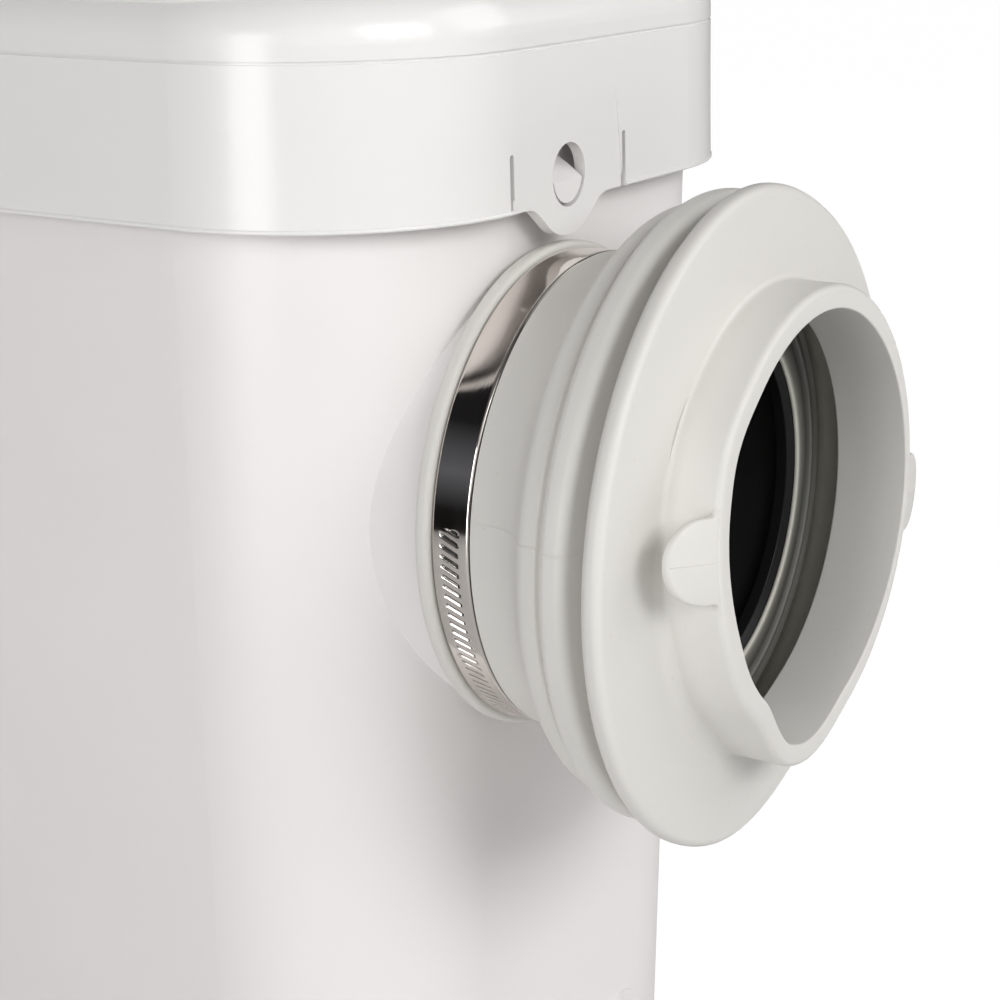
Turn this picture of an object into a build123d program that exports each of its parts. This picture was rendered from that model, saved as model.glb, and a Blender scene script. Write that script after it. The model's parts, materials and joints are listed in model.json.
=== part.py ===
from build123d import *
import math
import os

os.makedirs("parts", exist_ok=True)

# A slim macerating sewage pump: a drafted white tank with a clipped lid, and a rubber
# sleeve on its narrow end that takes the outlet of a toilet. Inside are the strainer
# basket, the cutter, the pump, the sealed motor, the level switch and the outlet with
# its non-return flap. Millimetres. The origin is on the floor under the middle of the
# tank, X runs across the tank, -Y points out of the toilet inlet and Z is up.

# General
overrun = 2.0            # how far a cutting solid runs past a face
rest_gap = 0.3           # clearance between neighbours that do not touch
running_fit = 0.06       # radial clearance of a turning fit
snug = 0.05              # radial clearance of round pieces that sit in each other

# Tank
foot_height = 6.0
foot_radius = 20.0
foot_edge = 1.2
foot_inset_x = 21.0      # middle of a foot, in from the tank's side at the bottom
foot_inset_y = 27.5
tank_width = 168.0       # outside, at the rim
tank_length = 317.0
tank_corner = 46.0
rim_rise = 86.0          # rim over the inlet's axis
tank_draft = 1.1         # degrees
tank_wall = 3.2
tank_floor = 3.6
tank_bottom_round = 5.0

# Toilet inlet: height of its axis over the floor, and its place across the tank
inlet_z = 180.0
inlet_x = -15.9
boss_radius = 50.5
boss_proud = 2.25        # boss face in front of the tank's end face at the inlet's height
boss_depth = 24.0
boss_edge = 1.0
spigot_radius = 48.2
spigot_wall = 4.7
spigot_length = 15.0

# Lid
lid_side_overhang = 3.2
lid_end_overhang = 6.5
lid_overlap = 23.2       # skirt below the tank's rim
lid_rise = 23.5          # top over the tank's rim
lid_wall = 2.4
lid_draft = 1.1
lid_round = 11.0
lid_groove_drop = 14.4
lid_groove_width = 0.7
lid_groove_depth = 0.45
lid_rib_wall = 2.0
seal_height = 2.4
seal_width = 2.6

# Snap tabs of the lid and the pegs that hold them
tab_half_width = 23.3
slit_width = 1.5
slit_height = 12.2
tab_recess = 0.45
tab_recess_height = 23.0
tab_recess_top_half_width = 19.5
tab_thickness = 2.6
lobe_drop = 7.2
lobe_shoulder = 14.2
lobe_half_tip = 5.0
lobe_shoulder_radius = 8.0
lobe_tip_radius = 11.0
peg_rise = 5.4           # middle of the peg over the skirt's edge
tab_hole_radius = 6.8
peg_radius = 6.0
peg_height = 8.8
peg_face = 4.8           # height of the peg's flat outer face, under its ramp
peg_foot = 0.8           # what the ramp stands out of the tank at its top

# Rubber inlet sleeve: steps along the inlet axis from the clamp's back edge towards the
# toilet, and rises over the seat of the band
band_width = 9.0
band_thickness = 0.8
cuff_wall = 3.05         # rubber between the spigot and the band
lip_width = 3.4
lip_rise = 2.2
sleeve_wall = 3.0
cuff_length = 9.7        # plain length in front of the band
flare_length = 8.5
flare_rise = 12.6
crest_length = 4.5       # from the flare's end to the valley in front of the bead
valley_rise = 11.1
bead_step = 5.0
bead_rise = 15.9
groove_step = 4.6
groove_rise = 7.7
flange_step = 3.0
flange_rise = 18.9
flange_thickness = 4.2
collar_bore = 44.8
collar_wall = 5.0
collar_length = 16.8     # from the flange's back face to the mouth
collar_step = 0.7        # from the flange's back face to the start of the collar's bore
wiper_back = 15.3        # root of the wiping lip behind the start of the collar's bore
wiper_thickness = 1.5
wiper_lean = 7.5
ear_radius = 8.8
ear_rise = 10.7          # tip of a pull tab over the collar
ear_thickness = 1.8
ear_back = 5.4           # back face of a pull tab behind the mouth
ear_root_round = 1.5
ear_turn = -6.8          # degrees, about the inlet's axis

# Worm drive clamp
clamp_turn = -38.0       # degrees, where the screw housing sits round the band
housing_length = 15.0
housing_height = 8.6
worm_lift = 1.4          # screw over the band, so that its head turns clear of it
worm_radius = 2.9
worm_head_radius = 4.3
worm_head_length = 5.0
worm_slot_width = 1.1
worm_slot_depth = 1.6

# Strainer basket, and the inlet tube in front of it
basket_radius = 46.0
basket_wall = 2.8
basket_gap = 10.5        # front of the basket behind the end wall's inside
basket_depth = 51.5
tube_radius = 43.0
tube_wall = 3.0
tube_reach = 37.5        # past the clamp's back edge
tube_collar = 4.0        # flange where the tube sits on the basket
strainer_slot_width = 7.0
strainer_slot_length = 40.0
strainer_slot_pitch = 13.0

# Motor line: cutter, pump, seal, bearings, rotor and stator on one shaft along Y
motor_lift = 22.4        # space under the motor
motor_side_gap = 1.9     # between the motor and the dip tube
motor_wall = 3.0
motor_length = 129.0
motor_end_round = 10.0
shaft_radius = 5.0
shaft_nose = 10.0        # end of the shaft in front of the cutter
shaft_rear_gap = 8.0     # end of the shaft in front of the motor's end
cutter_set = 15.0        # cutter in front of the grate
cutter_thickness = 4.0
cutter_reach = 39.0
cutter_width = 15.0
cutter_tooth = 5.0
nut_flat_radius = 8.0
nut_height = 6.5
grate_thickness = 4.0
grate_eye_radius = 12.0
grate_hole_radius = 4.0
grate_circle_radius = 26.0
volute_length = 36.0
volute_radius = 45.0
volute_wall = 3.2
volute_eye_radius = 16.0
impeller_gap = 3.0       # behind the impeller
impeller_radius = 37.0
impeller_plate = 3.0
vane_height = 9.0
vane_thickness = 3.0
vane_count = 6
hub_radius = 9.0
hub_length = 15.0
spacer_radius = 8.0
spout_radius = 13.0
spout_wall = 2.6
spout_rise = 13.0        # over the pump casing
cover_plug = 11.0
cover_flange = 4.0
ear_circle_rise = 4.0    # circle of the motor screws round the motor
ear_lug_radius = 5.5
ear_lug_depth = 8.0
bearing_radius = 14.0
bearing_width = 9.0
seal_radius = 10.0
seal_length = 7.0
seal_sunk = 5.0          # how deep the shaft seal sits in the cover
stator_depth = 28.5      # from the motor's outside to the rotor
air_gap = 0.7
core_length = 60.0
core_lead = 31.0         # from the pump casing to the core
coil_inner_gap = 3.5
coil_outer_gap = 10.0
coil_length = 12.0
motor_screw_radius = 2.2
motor_screw_head = 4.0
motor_screw_head_height = 3.0
cradle_width = 70.0
cradle_thickness = 16.0

# Level switch: a dip tube, its diaphragm housing and a microswitch on top
dip_set = 23.0           # behind the pump casing
dip_side_gap = 2.0       # between the chamber and the tank's wall
dip_radius = 14.0
dip_wall = 2.4
dip_lift = 16.4          # mouth over the tank's floor
dip_drop = 70.0          # top of the tube under the tank's rim
chamber_radius = 21.5
chamber_base = 8.0
chamber_cap = 12.0
shelf_thickness = 6.0
shelf_width = 38.0
membrane_thickness = 2.0
plate_radius = 15.0
plate_thickness = 1.6
plunger_radius = 2.4
plunger_travel = 2.0
plunger_rise = 2.5       # over the cap
switch_length = 28.0
switch_width = 10.5
switch_height = 16.0

# Electrical box over the motor
box_lift = 4.0           # over the motor
box_side_gap = 3.0       # beside the riser hose
box_width = 48.0
box_length = 88.0
box_height = 36.0
box_wall = 2.4
box_round = 5.0
box_lid_thickness = 3.0
capacitor_radius = 12.0
capacitor_length = 62.0
terminal_length = 42.0
terminal_height = 15.0
terminal_hole_radius = 2.4
terminal_pitch = 10.0

# Outlet: riser hose, non-return valve through the end wall, and a swivel elbow
outlet_drop = 36.8       # axis under the lid's skirt
hose_side_gap = 8.7      # between the riser hose and the switch chamber
hose_bend_radius = 34.0
hose_radius = 15.8
hose_grip = 12.0
valve_radius = 21.0
valve_wall = 2.8
valve_length = 44.0
valve_inlet_radius = 13.0
valve_inlet_length = 14.0
seat_bore = 10.4
seat_thickness = 3.0
flap_radius = 13.0
flap_thickness = 2.4
flap_pin_radius = 1.3
flap_pin_rise = 14.8
outlet_spigot_radius = 15.0
outlet_spigot_bore = 12.0
outlet_spigot_length = 24.0
outlet_ring_grip = 4.0
outlet_ring_radius = 20.0
elbow_wall = 3.0
elbow_bend_radius = 24.0
elbow_stub = 30.0
elbow_bore = 14.2
elbow_bead = 1.2

# Low side inlets for a basin or a shower, closed with rubber caps
side_inlet_y = 76.0
side_inlet_z = 52.0
side_inlet_radius = 20.0
side_inlet_bore = 16.5
side_inlet_length = 20.0
cap_wall = 2.8
cap_band_width = 9.0
cap_band_thickness = 0.8

# Cable gland in the back wall, and the vent filter under the lid
gland_drop = 46.0        # under the outlet
gland_thread_radius = 8.0
gland_nut_radius = 11.5
gland_nut_length = 12.0
gland_flange = 5.0
gland_bore = 3.6         # hole of the nut, which grips the cord
gland_throat = 5.0       # wider hole through the body
gland_inner_nut = 5.0
filter_radius = 22.0
filter_height = 12.0
filter_ring_wall = 2.0
filter_x = 30.0
filter_y = 60.0

# Floor fixing lugs on both ends
lug_radius = 11.0
lug_half_spacing = 28.0
lug_top_z = 22.0
lug_hole_radius = 2.75
lug_counterbore_radius = 5.5
lug_base = 6.0
lug_proud = 7.0          # middle of a lug in front of the end face

pad_z = 20.5             # middle of the round pad on the wall over each lug
pad_proud = 1.2

# Places worked out from the sizes above
tank_drop = math.tan(math.radians(tank_draft))
lid_drop = math.tan(math.radians(lid_draft))
tank_bottom = foot_height
floor_z = tank_bottom + tank_floor
tank_rim = inlet_z + rim_rise
lid_skirt_z = tank_rim - lid_overlap
lid_top_z = tank_rim + lid_rise


def tank_inset(z):
    """How far the drafted outside of the tank has moved in at a height."""
    return (tank_rim - z) * tank_drop


def lid_inset(z):
    """How far the drafted outside of the lid has moved in at a height."""
    return (z - lid_skirt_z) * lid_drop


def tank_end(z):
    """Distance of the tank's end face from the middle at a height."""
    return tank_length / 2 - tank_inset(z)


def tank_side(z):
    """Distance of the tank's side face from the middle at a height."""
    return tank_width / 2 - tank_inset(z)


lid_width = tank_width + 2 * lid_side_overhang
lid_length = tank_length + 2 * lid_end_overhang
lid_corner = tank_corner + lid_side_overhang
boss_face_y = -tank_end(inlet_z) - boss_proud
sleeve_back_y = boss_face_y - rest_gap
clamp_back_y = sleeve_back_y - lip_width
# Across the tank: dip tube at the right wall, then the riser, the motor and the box
dip_bottom_z = floor_z + dip_lift
dip_top_z = tank_rim - dip_drop
dip_x = tank_side(dip_top_z) - tank_wall - dip_side_gap - chamber_radius
riser_x = dip_x - chamber_radius - hose_side_gap - hose_radius
motor_radius = dip_x - dip_radius - motor_side_gap - inlet_x
shaft_z = floor_z + motor_lift + motor_radius
outlet_z = lid_skirt_z - outlet_drop
gland_z = outlet_z - gland_drop
# Along the tank, from the basket backwards
basket_front_y = tank_wall + basket_gap - tank_end(shaft_z - basket_radius)
basket_rear_y = basket_front_y + basket_depth
cutter_y = basket_rear_y - cutter_set
shaft_front_y = cutter_y - shaft_nose
grate_rear_y = basket_rear_y + grate_thickness
volute_rear_y = grate_rear_y + volute_length
motor_rear_y = volute_rear_y + motor_length
shaft_rear_y = motor_rear_y - shaft_rear_gap
core_front_y = volute_rear_y + core_lead
core_rear_y = core_front_y + core_length
dip_y = volute_rear_y + dip_set


def facing_front(x, y, z):
    """A plane at a point that faces the toilet, with its own Y upwards."""
    return Plane(origin=(x, y, z), x_dir=(1, 0, 0), z_dir=(0, -1, 0))


def facing_back(x, y, z):
    """A plane at a point that faces the back, with its own Y upwards."""
    return Plane(origin=(x, y, z), x_dir=(-1, 0, 0), z_dir=(0, 1, 0))


def profile_plane(x, z):
    """A plane through an axis along Y: its own X points to the toilet, its own Y up."""
    return Plane(origin=(x, 0, z), x_dir=(0, -1, 0), z_dir=(-1, 0, 0))


def finish(piece, name):
    """Labels a finished piece and writes it to its own file."""
    piece.part.label = name
    export_step(piece.part, f"parts/{name}.step")


# Peg of a snap tab: a ramp that the tab rides over, with a flat underside that holds it
peg_z = lid_skirt_z + peg_rise
peg_out = lid_length / 2 - tab_recess - rest_gap
peg_in = tank_end(peg_z)
with BuildPart() as peg:
    with BuildSketch(profile_plane(inlet_x, peg_z)):
        with BuildLine():
            Polyline(
                (peg_in - tank_wall / 2, -peg_radius),
                (peg_out, -peg_radius),
                (peg_out, peg_face - peg_radius),
                (peg_in + peg_foot, peg_height - peg_radius),
                (peg_in - tank_wall / 2, peg_height - peg_radius),
                close=True,
            )
        make_face()
    extrude(amount=peg_radius, both=True)
    with BuildSketch(facing_front(inlet_x, -peg_in + tank_wall, peg_z)):
        Circle(peg_radius)
    extrude(amount=peg_out, mode=Mode.INTERSECT)

# Tank: drafted box, hollow boss and spigot of the toilet inlet, side stubs and lugs
with BuildPart() as tank:
    with BuildSketch(facing_front(inlet_x, boss_face_y + boss_depth, inlet_z)):
        Circle(boss_radius)
    extrude(amount=boss_depth)
    fillet(tank.faces().sort_by(Axis.Y)[0].edges(), boss_edge)
    with BuildSketch(Plane(origin=(0, 0, tank_rim), z_dir=(0, 0, -1))):
        RectangleRounded(tank_width, tank_length, tank_corner)
    extrude(amount=tank_rim - tank_bottom, taper=tank_draft)
    fillet(tank.faces().sort_by(Axis.Z)[0].edges(), tank_bottom_round)
    # Lugs that take the floor screws, and a shallow pad on the wall over each
    lug_y = tank_end(lug_top_z) + lug_proud
    pad_bottom_z = tank_bottom + tank_bottom_round
    with BuildSketch():
        for y in (-lug_y, lug_y):
            with Locations((-lug_half_spacing, y), (lug_half_spacing, y)):
                Circle(lug_radius)
                with Locations((0, -math.copysign(lug_radius, y))):
                    Rectangle(2 * lug_radius, 2 * lug_radius)
    extrude(amount=lug_top_z)
    for end in (-1, 1):
        with BuildSketch(facing_back(0, end * (tank_end(pad_z) + pad_proud), pad_bottom_z)):
            with Locations((0, pad_z - pad_bottom_z)):
                with GridLocations(2 * lug_half_spacing, 0, 2, 1):
                    Circle(lug_radius)
            Rectangle(tank_width, 2 * pad_z, align=(Align.CENTER, Align.MIN), mode=Mode.INTERSECT)
        extrude(amount=-end * (pad_proud + tank_wall / 2))
    # Stubs of the two low side inlets
    for side in (-1, 1):
        outward = Plane(
            origin=(side * (tank_side(side_inlet_z) - tank_wall), side_inlet_y, side_inlet_z),
            z_dir=(side, 0, 0),
        )
        with BuildSketch(outward):
            Circle(side_inlet_radius)
        extrude(amount=tank_wall + side_inlet_length)
    # Spigot that carries the rubber sleeve
    with BuildSketch(facing_front(inlet_x, boss_face_y, inlet_z)):
        Circle(spigot_radius)
    extrude(amount=spigot_length)
    # Inside of the tank, open at the top
    with BuildSketch(Plane(origin=(0, 0, tank_rim), z_dir=(0, 0, -1))):
        RectangleRounded(tank_width - 2 * tank_wall, tank_length - 2 * tank_wall, tank_corner - tank_wall)
    extrude(amount=tank_rim - tank_bottom - tank_floor, taper=tank_draft, mode=Mode.SUBTRACT)
    # Inside of the boss and the bore of the spigot
    with BuildSketch(facing_front(inlet_x, boss_face_y + boss_depth, inlet_z)):
        Circle(boss_radius - tank_wall)
    extrude(amount=boss_depth - tank_wall, mode=Mode.SUBTRACT)
    with BuildSketch(facing_front(inlet_x, boss_face_y + boss_depth, inlet_z)):
        Circle(spigot_radius - spigot_wall)
    extrude(amount=boss_depth + spigot_length + overrun, mode=Mode.SUBTRACT)
    for side in (-1, 1):
        outward = Plane(
            origin=(side * (tank_side(side_inlet_z) - 2 * tank_wall), side_inlet_y, side_inlet_z),
            z_dir=(side, 0, 0),
        )
        with BuildSketch(outward):
            Circle(side_inlet_bore)
        extrude(amount=2 * tank_wall + side_inlet_length + overrun, mode=Mode.SUBTRACT)
    # Holes of the outlet and of the cable gland in the back wall
    with BuildSketch(facing_back(0, tank_end(outlet_z) - 2 * tank_wall, 0)):
        with Locations((-riser_x, outlet_z)):
            Circle(outlet_spigot_radius + snug)
        with Locations((-riser_x, gland_z)):
            Circle(gland_thread_radius + snug)
    extrude(amount=4 * tank_wall, mode=Mode.SUBTRACT)
    # Screw holes of the lugs
    with BuildSketch(Plane.XY.offset(-overrun)):
        with GridLocations(2 * lug_half_spacing, 2 * lug_y, 2, 2):
            Circle(lug_hole_radius)
    extrude(amount=lug_base + 2 * overrun, mode=Mode.SUBTRACT)
    with BuildSketch(Plane.XY.offset(lug_base)):
        with GridLocations(2 * lug_half_spacing, 2 * lug_y, 2, 2):
            Circle(lug_counterbore_radius)
    extrude(amount=lug_top_z - lug_base + overrun, mode=Mode.SUBTRACT)
    # Shelf on the side wall that the level switch hangs from, with a notch for its tube
    shelf_out = tank_side(dip_top_z) - tank_wall / 2
    with BuildSketch(Plane.XY.offset(dip_top_z - shelf_thickness)):
        with Locations(((dip_x + shelf_out) / 2, dip_y)):
            Rectangle(shelf_out - dip_x, shelf_width)
        with Locations((dip_x, dip_y)):
            Circle(dip_radius + rest_gap, mode=Mode.SUBTRACT)
    extrude(amount=shelf_thickness)
    add(peg.part)
    add(peg.part.mirror(Plane.XZ))
finish(tank, "tank")

# Four rubber feet
for side, side_name in ((-1, "left"), (1, "right")):
    for end, end_name in ((-1, "front"), (1, "back")):
        foot_x = side * (tank_side(tank_bottom) - foot_inset_x)
        foot_y = end * (tank_end(tank_bottom) - foot_inset_y)
        with BuildPart() as foot:
            with BuildSketch():
                with Locations((foot_x, foot_y)):
                    Circle(foot_radius)
            extrude(amount=foot_height)
            fillet(foot.edges().filter_by(GeomType.CIRCLE), foot_edge)
        finish(foot, f"foot_{end_name}_{side_name}")

# Lid: the hollow first, then the shell around it, its groove and its snap tabs
ceiling_z = lid_top_z - lid_wall
with BuildPart() as lid_hollow:
    with BuildSketch(Plane.XY.offset(lid_skirt_z)):
        RectangleRounded(lid_width - 2 * lid_wall, lid_length - 2 * lid_wall, lid_corner - lid_wall)
    extrude(amount=ceiling_z - lid_skirt_z, taper=lid_draft)
    fillet(lid_hollow.faces().sort_by(Axis.Z)[-1].edges(), lid_round - lid_wall)

tab_face = lid_length / 2 - tab_recess
tab_edge = tab_half_width - slit_width / 2
with BuildPart() as lid:
    with BuildSketch(Plane.XY.offset(lid_skirt_z)):
        RectangleRounded(lid_width, lid_length, lid_corner)
    extrude(amount=lid_top_z - lid_skirt_z, taper=lid_draft)
    fillet(lid.faces().sort_by(Axis.Z)[-1].edges(), lid_round)
    add(lid_hollow.part, mode=Mode.SUBTRACT)
    # Fine line round the skirt
    groove_z = lid_top_z - lid_groove_drop
    groove_in = lid_inset(groove_z) + lid_groove_depth
    with BuildSketch(Plane.XY.offset(groove_z)):
        RectangleRounded(lid_width + overrun, lid_length + overrun, lid_corner)
        RectangleRounded(
            lid_width - 2 * groove_in,
            lid_length - 2 * groove_in,
            lid_corner - groove_in,
            mode=Mode.SUBTRACT,
        )
    extrude(amount=lid_groove_width, mode=Mode.SUBTRACT)
    # Rib that presses the seal onto the tank's rim
    rib_in = tank_wall / 2 - lid_rib_wall / 2
    with BuildSketch(Plane.XY.offset(tank_rim + seal_height)):
        RectangleRounded(tank_width - 2 * rib_in, tank_length - 2 * rib_in, tank_corner - rib_in)
        RectangleRounded(
            tank_width - 2 * (rib_in + lid_rib_wall),
            tank_length - 2 * (rib_in + lid_rib_wall),
            tank_corner - rib_in - lid_rib_wall,
            mode=Mode.SUBTRACT,
        )
    extrude(amount=ceiling_z - tank_rim - seal_height + lid_wall / 2)
    # Ring that holds the vent filter
    with BuildSketch(Plane.XY.offset(ceiling_z - filter_height)):
        with Locations((filter_x, filter_y)):
            Circle(filter_radius + snug + filter_ring_wall)
            Circle(filter_radius + snug, mode=Mode.SUBTRACT)
    extrude(amount=filter_height + lid_wall / 2)
    for end in (-1, 1):
        outward = facing_front(inlet_x, 0, lid_skirt_z)
        # Flat field of the tab, let into the drafted wall
        with BuildSketch(outward.offset(-end * tab_face)):
            with BuildLine():
                Polyline(
                    (-tab_half_width, -overrun),
                    (tab_half_width, -overrun),
                    (tab_recess_top_half_width, tab_recess_height),
                    (-tab_recess_top_half_width, tab_recess_height),
                    close=True,
                )
            make_face()
        extrude(amount=-end * overrun, mode=Mode.SUBTRACT)
        # Slits that free the tab, with round tops
        with BuildSketch(outward.offset(-end * (tab_face + overrun))):
            with Locations((-tab_half_width, 0), (tab_half_width, 0)):
                Rectangle(slit_width, 2 * (slit_height - slit_width / 2))
                with Locations((0, slit_height - slit_width / 2)):
                    Circle(slit_width / 2)
        extrude(amount=end * (overrun + 2 * lid_wall), mode=Mode.SUBTRACT)
        # The tab's plate with its bell-shaped lobe
        with BuildSketch(outward.offset(-end * tab_face)):
            with BuildLine():
                FilletPolyline(
                    (-tab_edge, slit_height),
                    (-tab_edge, 0),
                    (-lobe_shoulder, 0),
                    (-lobe_half_tip, -lobe_drop),
                    (lobe_half_tip, -lobe_drop),
                    (lobe_shoulder, 0),
                    (tab_edge, 0),
                    (tab_edge, slit_height),
                    radius=(
                        0,
                        0,
                        lobe_shoulder_radius,
                        lobe_tip_radius,
                        lobe_tip_radius,
                        lobe_shoulder_radius,
                        0,
                        0,
                    ),
                    close=True,
                )
            make_face()
        extrude(amount=end * tab_thickness)
        with BuildSketch(outward.offset(-end * (tab_face + overrun))):
            with Locations((0, peg_rise)):
                Circle(tab_hole_radius)
        extrude(amount=end * (overrun + 2 * lid_wall), mode=Mode.SUBTRACT)
finish(lid, "lid")

# Seal between the tank's rim and the lid's rib
seal_in = (tank_wall - seal_width) / 2
with BuildPart() as lid_seal:
    with BuildSketch(Plane.XY.offset(tank_rim)):
        RectangleRounded(tank_width - 2 * seal_in, tank_length - 2 * seal_in, tank_corner - seal_in)
        RectangleRounded(
            tank_width - 2 * (seal_in + seal_width),
            tank_length - 2 * (seal_in + seal_width),
            tank_corner - seal_in - seal_width,
            mode=Mode.SUBTRACT,
        )
    extrude(amount=seal_height)
finish(lid_seal, "lid_seal")

# Charcoal vent filter in its ring under the lid
with BuildPart() as vent_filter:
    with BuildSketch(Plane.XY.offset(ceiling_z - filter_height)):
        with Locations((filter_x, filter_y)):
            Circle(filter_radius)
    extrude(amount=filter_height)
finish(vent_filter, "vent_filter")

# Rubber sleeve between the spigot and the toilet's outlet: two beads, a stiff flange,
# a collar with two pull tabs, and inside it a thin lip that wipes on the basket's tube
sleeve_bore = spigot_radius + snug
seat_radius = sleeve_bore + cuff_wall
flare_from = band_width + rest_gap + cuff_length
flare_end = flare_from + flare_length
flare_radius = seat_radius + flare_rise
valley_at = flare_end + crest_length
bead_at = valley_at + bead_step
bead_radius = seat_radius + bead_rise
groove_at = bead_at + groove_step
groove_radius = seat_radius + groove_rise
flange_at = groove_at + flange_step
flange_radius = seat_radius + flange_rise
collar_radius = collar_bore + collar_wall
collar_end = flange_at + collar_length
collar_inner = flange_at + collar_step
cavity_radius = groove_radius - sleeve_wall
wiper_at = collar_inner - wiper_back
wiper_end = wiper_at + wiper_lean
wiper_radius = tube_radius + rest_gap
sleeve_points = [
    # along the axis, radius, rounding
    (-lip_width, sleeve_bore, 0),
    (-lip_width, seat_radius + lip_rise, lip_width / 3),
    (-snug, seat_radius + lip_rise, lip_width / 3),
    (-snug, seat_radius, 0),
    (band_width + rest_gap, seat_radius, 0),
    (band_width + rest_gap, seat_radius + band_thickness, 0),
    (flare_from, seat_radius + 1.5 * band_thickness, 1.6 * flare_length),
    (flare_end, flare_radius, sleeve_wall),
    (valley_at - crest_length / 6, flare_radius, sleeve_wall / 5),
    (valley_at, seat_radius + valley_rise, rest_gap),
    (bead_at - sleeve_wall, bead_radius, 0.7 * sleeve_wall),
    (bead_at + 0.7 * sleeve_wall, bead_radius, 0.9 * sleeve_wall),
    (groove_at, groove_radius, 0.4 * sleeve_wall),
    (flange_at - sleeve_wall / 3, groove_radius, 0),
    (flange_at, flange_radius, 0.4 * flange_thickness),
    (flange_at + flange_thickness, flange_radius, 0.45 * flange_thickness),
    (flange_at + 1.25 * flange_thickness, collar_radius, 0.4 * sleeve_wall),
    (collar_end, collar_radius, sleeve_wall / 3),
    (collar_end, collar_bore, sleeve_wall / 3),
    (collar_inner, collar_bore, sleeve_wall / 5),
    (collar_inner, cavity_radius, sleeve_wall / 3),
    (wiper_at + wiper_thickness, cavity_radius, 0),
    (wiper_end, wiper_radius + wiper_thickness, 0),
    (wiper_end, wiper_radius, 0),
    (wiper_at, cavity_radius, 0),
    (flare_end - sleeve_wall / 3, cavity_radius, 2 * sleeve_wall),
    (spigot_length + sleeve_wall, sleeve_bore + sleeve_wall / 3, 2 * sleeve_wall),
    (spigot_length - lip_width, sleeve_bore, 0),
]
with BuildPart() as inlet_sleeve:
    with BuildSketch(profile_plane(inlet_x, inlet_z)):
        with BuildLine():
            FilletPolyline(
                [(at - clamp_back_y, radius) for at, radius, _ in sleeve_points],
                radius=[rounding for _, _, rounding in sleeve_points],
                close=True,
            )
        make_face()
    revolve(axis=Axis((inlet_x, 0, inlet_z), (0, -1, 0)))
    with BuildSketch(facing_front(inlet_x, clamp_back_y - collar_end + ear_back, inlet_z)) as ears:
        Circle(collar_radius)
        with PolarLocations(collar_radius + ear_rise - ear_radius, 2, start_angle=ear_turn):
            Circle(ear_radius)
        fillet(ears.vertices(), ear_root_round)
        Circle(collar_radius - sleeve_wall / 2, mode=Mode.SUBTRACT)
    extrude(amount=ear_thickness)
finish(inlet_sleeve, "inlet_sleeve")

# Worm drive clamp: band, screw housing on its far side, and the screw
band_outside = seat_radius + snug + band_thickness
clamp_middle_y = clamp_back_y - band_width / 2
clamp_angle = math.radians(clamp_turn)
clamp_out = (math.cos(clamp_angle), 0, math.sin(clamp_angle))
clamp_tangent = (-math.sin(clamp_angle), 0, math.cos(clamp_angle))
worm_rise = band_outside + worm_lift + worm_radius


def clamp_point(radius):
    """A point over the middle of the band, at the screw housing."""
    return (inlet_x + radius * clamp_out[0], clamp_middle_y, inlet_z + radius * clamp_out[2])


with BuildPart() as clamp_band:
    with BuildSketch(facing_front(inlet_x, clamp_back_y, inlet_z)):
        Circle(band_outside)
        Circle(seat_radius + snug, mode=Mode.SUBTRACT)
    extrude(amount=band_width)
finish(clamp_band, "clamp_band")

housing_plane = Plane(origin=clamp_point(worm_rise), x_dir=(0, 1, 0), z_dir=clamp_tangent)
with BuildPart() as clamp_housing:
    with BuildSketch(housing_plane.offset(-housing_length / 2)):
        with BuildLine():
            FilletPolyline(
                (-band_width / 2, worm_rise - band_outside),
                (-band_width / 2, worm_rise - band_outside - housing_height),
                (band_width / 2, worm_rise - band_outside - housing_height),
                (band_width / 2, worm_rise - band_outside),
                radius=(0, worm_radius, worm_radius, 0),
                close=True,
            )
        make_face()
        Circle(worm_radius + running_fit, mode=Mode.SUBTRACT)
        with Locations((0, worm_rise - band_outside)):
            Rectangle(2 * worm_radius, 2 * worm_radius, mode=Mode.SUBTRACT)
    extrude(amount=housing_length)
    with BuildSketch(facing_front(inlet_x, clamp_back_y + overrun, inlet_z)):
        Circle(band_outside + snug)
    extrude(amount=band_width + 2 * overrun, mode=Mode.SUBTRACT)
finish(clamp_housing, "clamp_housing")

with BuildPart() as clamp_screw:
    with BuildSketch(housing_plane.offset(-housing_length / 2 - rest_gap)):
        Circle(worm_radius)
    extrude(amount=housing_length + 2 * rest_gap)
    with BuildSketch(housing_plane.offset(housing_length / 2 + rest_gap)):
        RegularPolygon(worm_head_radius, 6)
    extrude(amount=worm_head_length)
    with BuildSketch(housing_plane.offset(housing_length / 2 + rest_gap + worm_head_length)):
        Rectangle(worm_slot_width, 2 * worm_head_radius + overrun)
    extrude(amount=-worm_slot_depth, mode=Mode.SUBTRACT)
finish(clamp_screw, "clamp_screw")

# Tube that leads from the sleeve to the basket and sits on the basket's front
with BuildPart() as inlet_tube:
    with BuildSketch(facing_front(inlet_x, basket_front_y, inlet_z)):
        Circle(basket_radius)
    extrude(amount=tube_collar)
    with BuildSketch(facing_front(inlet_x, basket_front_y, inlet_z)):
        Circle(tube_radius)
    extrude(amount=basket_front_y - clamp_back_y + tube_reach)
    with BuildSketch(facing_front(inlet_x, basket_front_y, inlet_z)):
        Circle(tube_radius - tube_wall)
    extrude(amount=basket_front_y - clamp_back_y + tube_reach, mode=Mode.SUBTRACT)
finish(inlet_tube, "inlet_tube")

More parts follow.
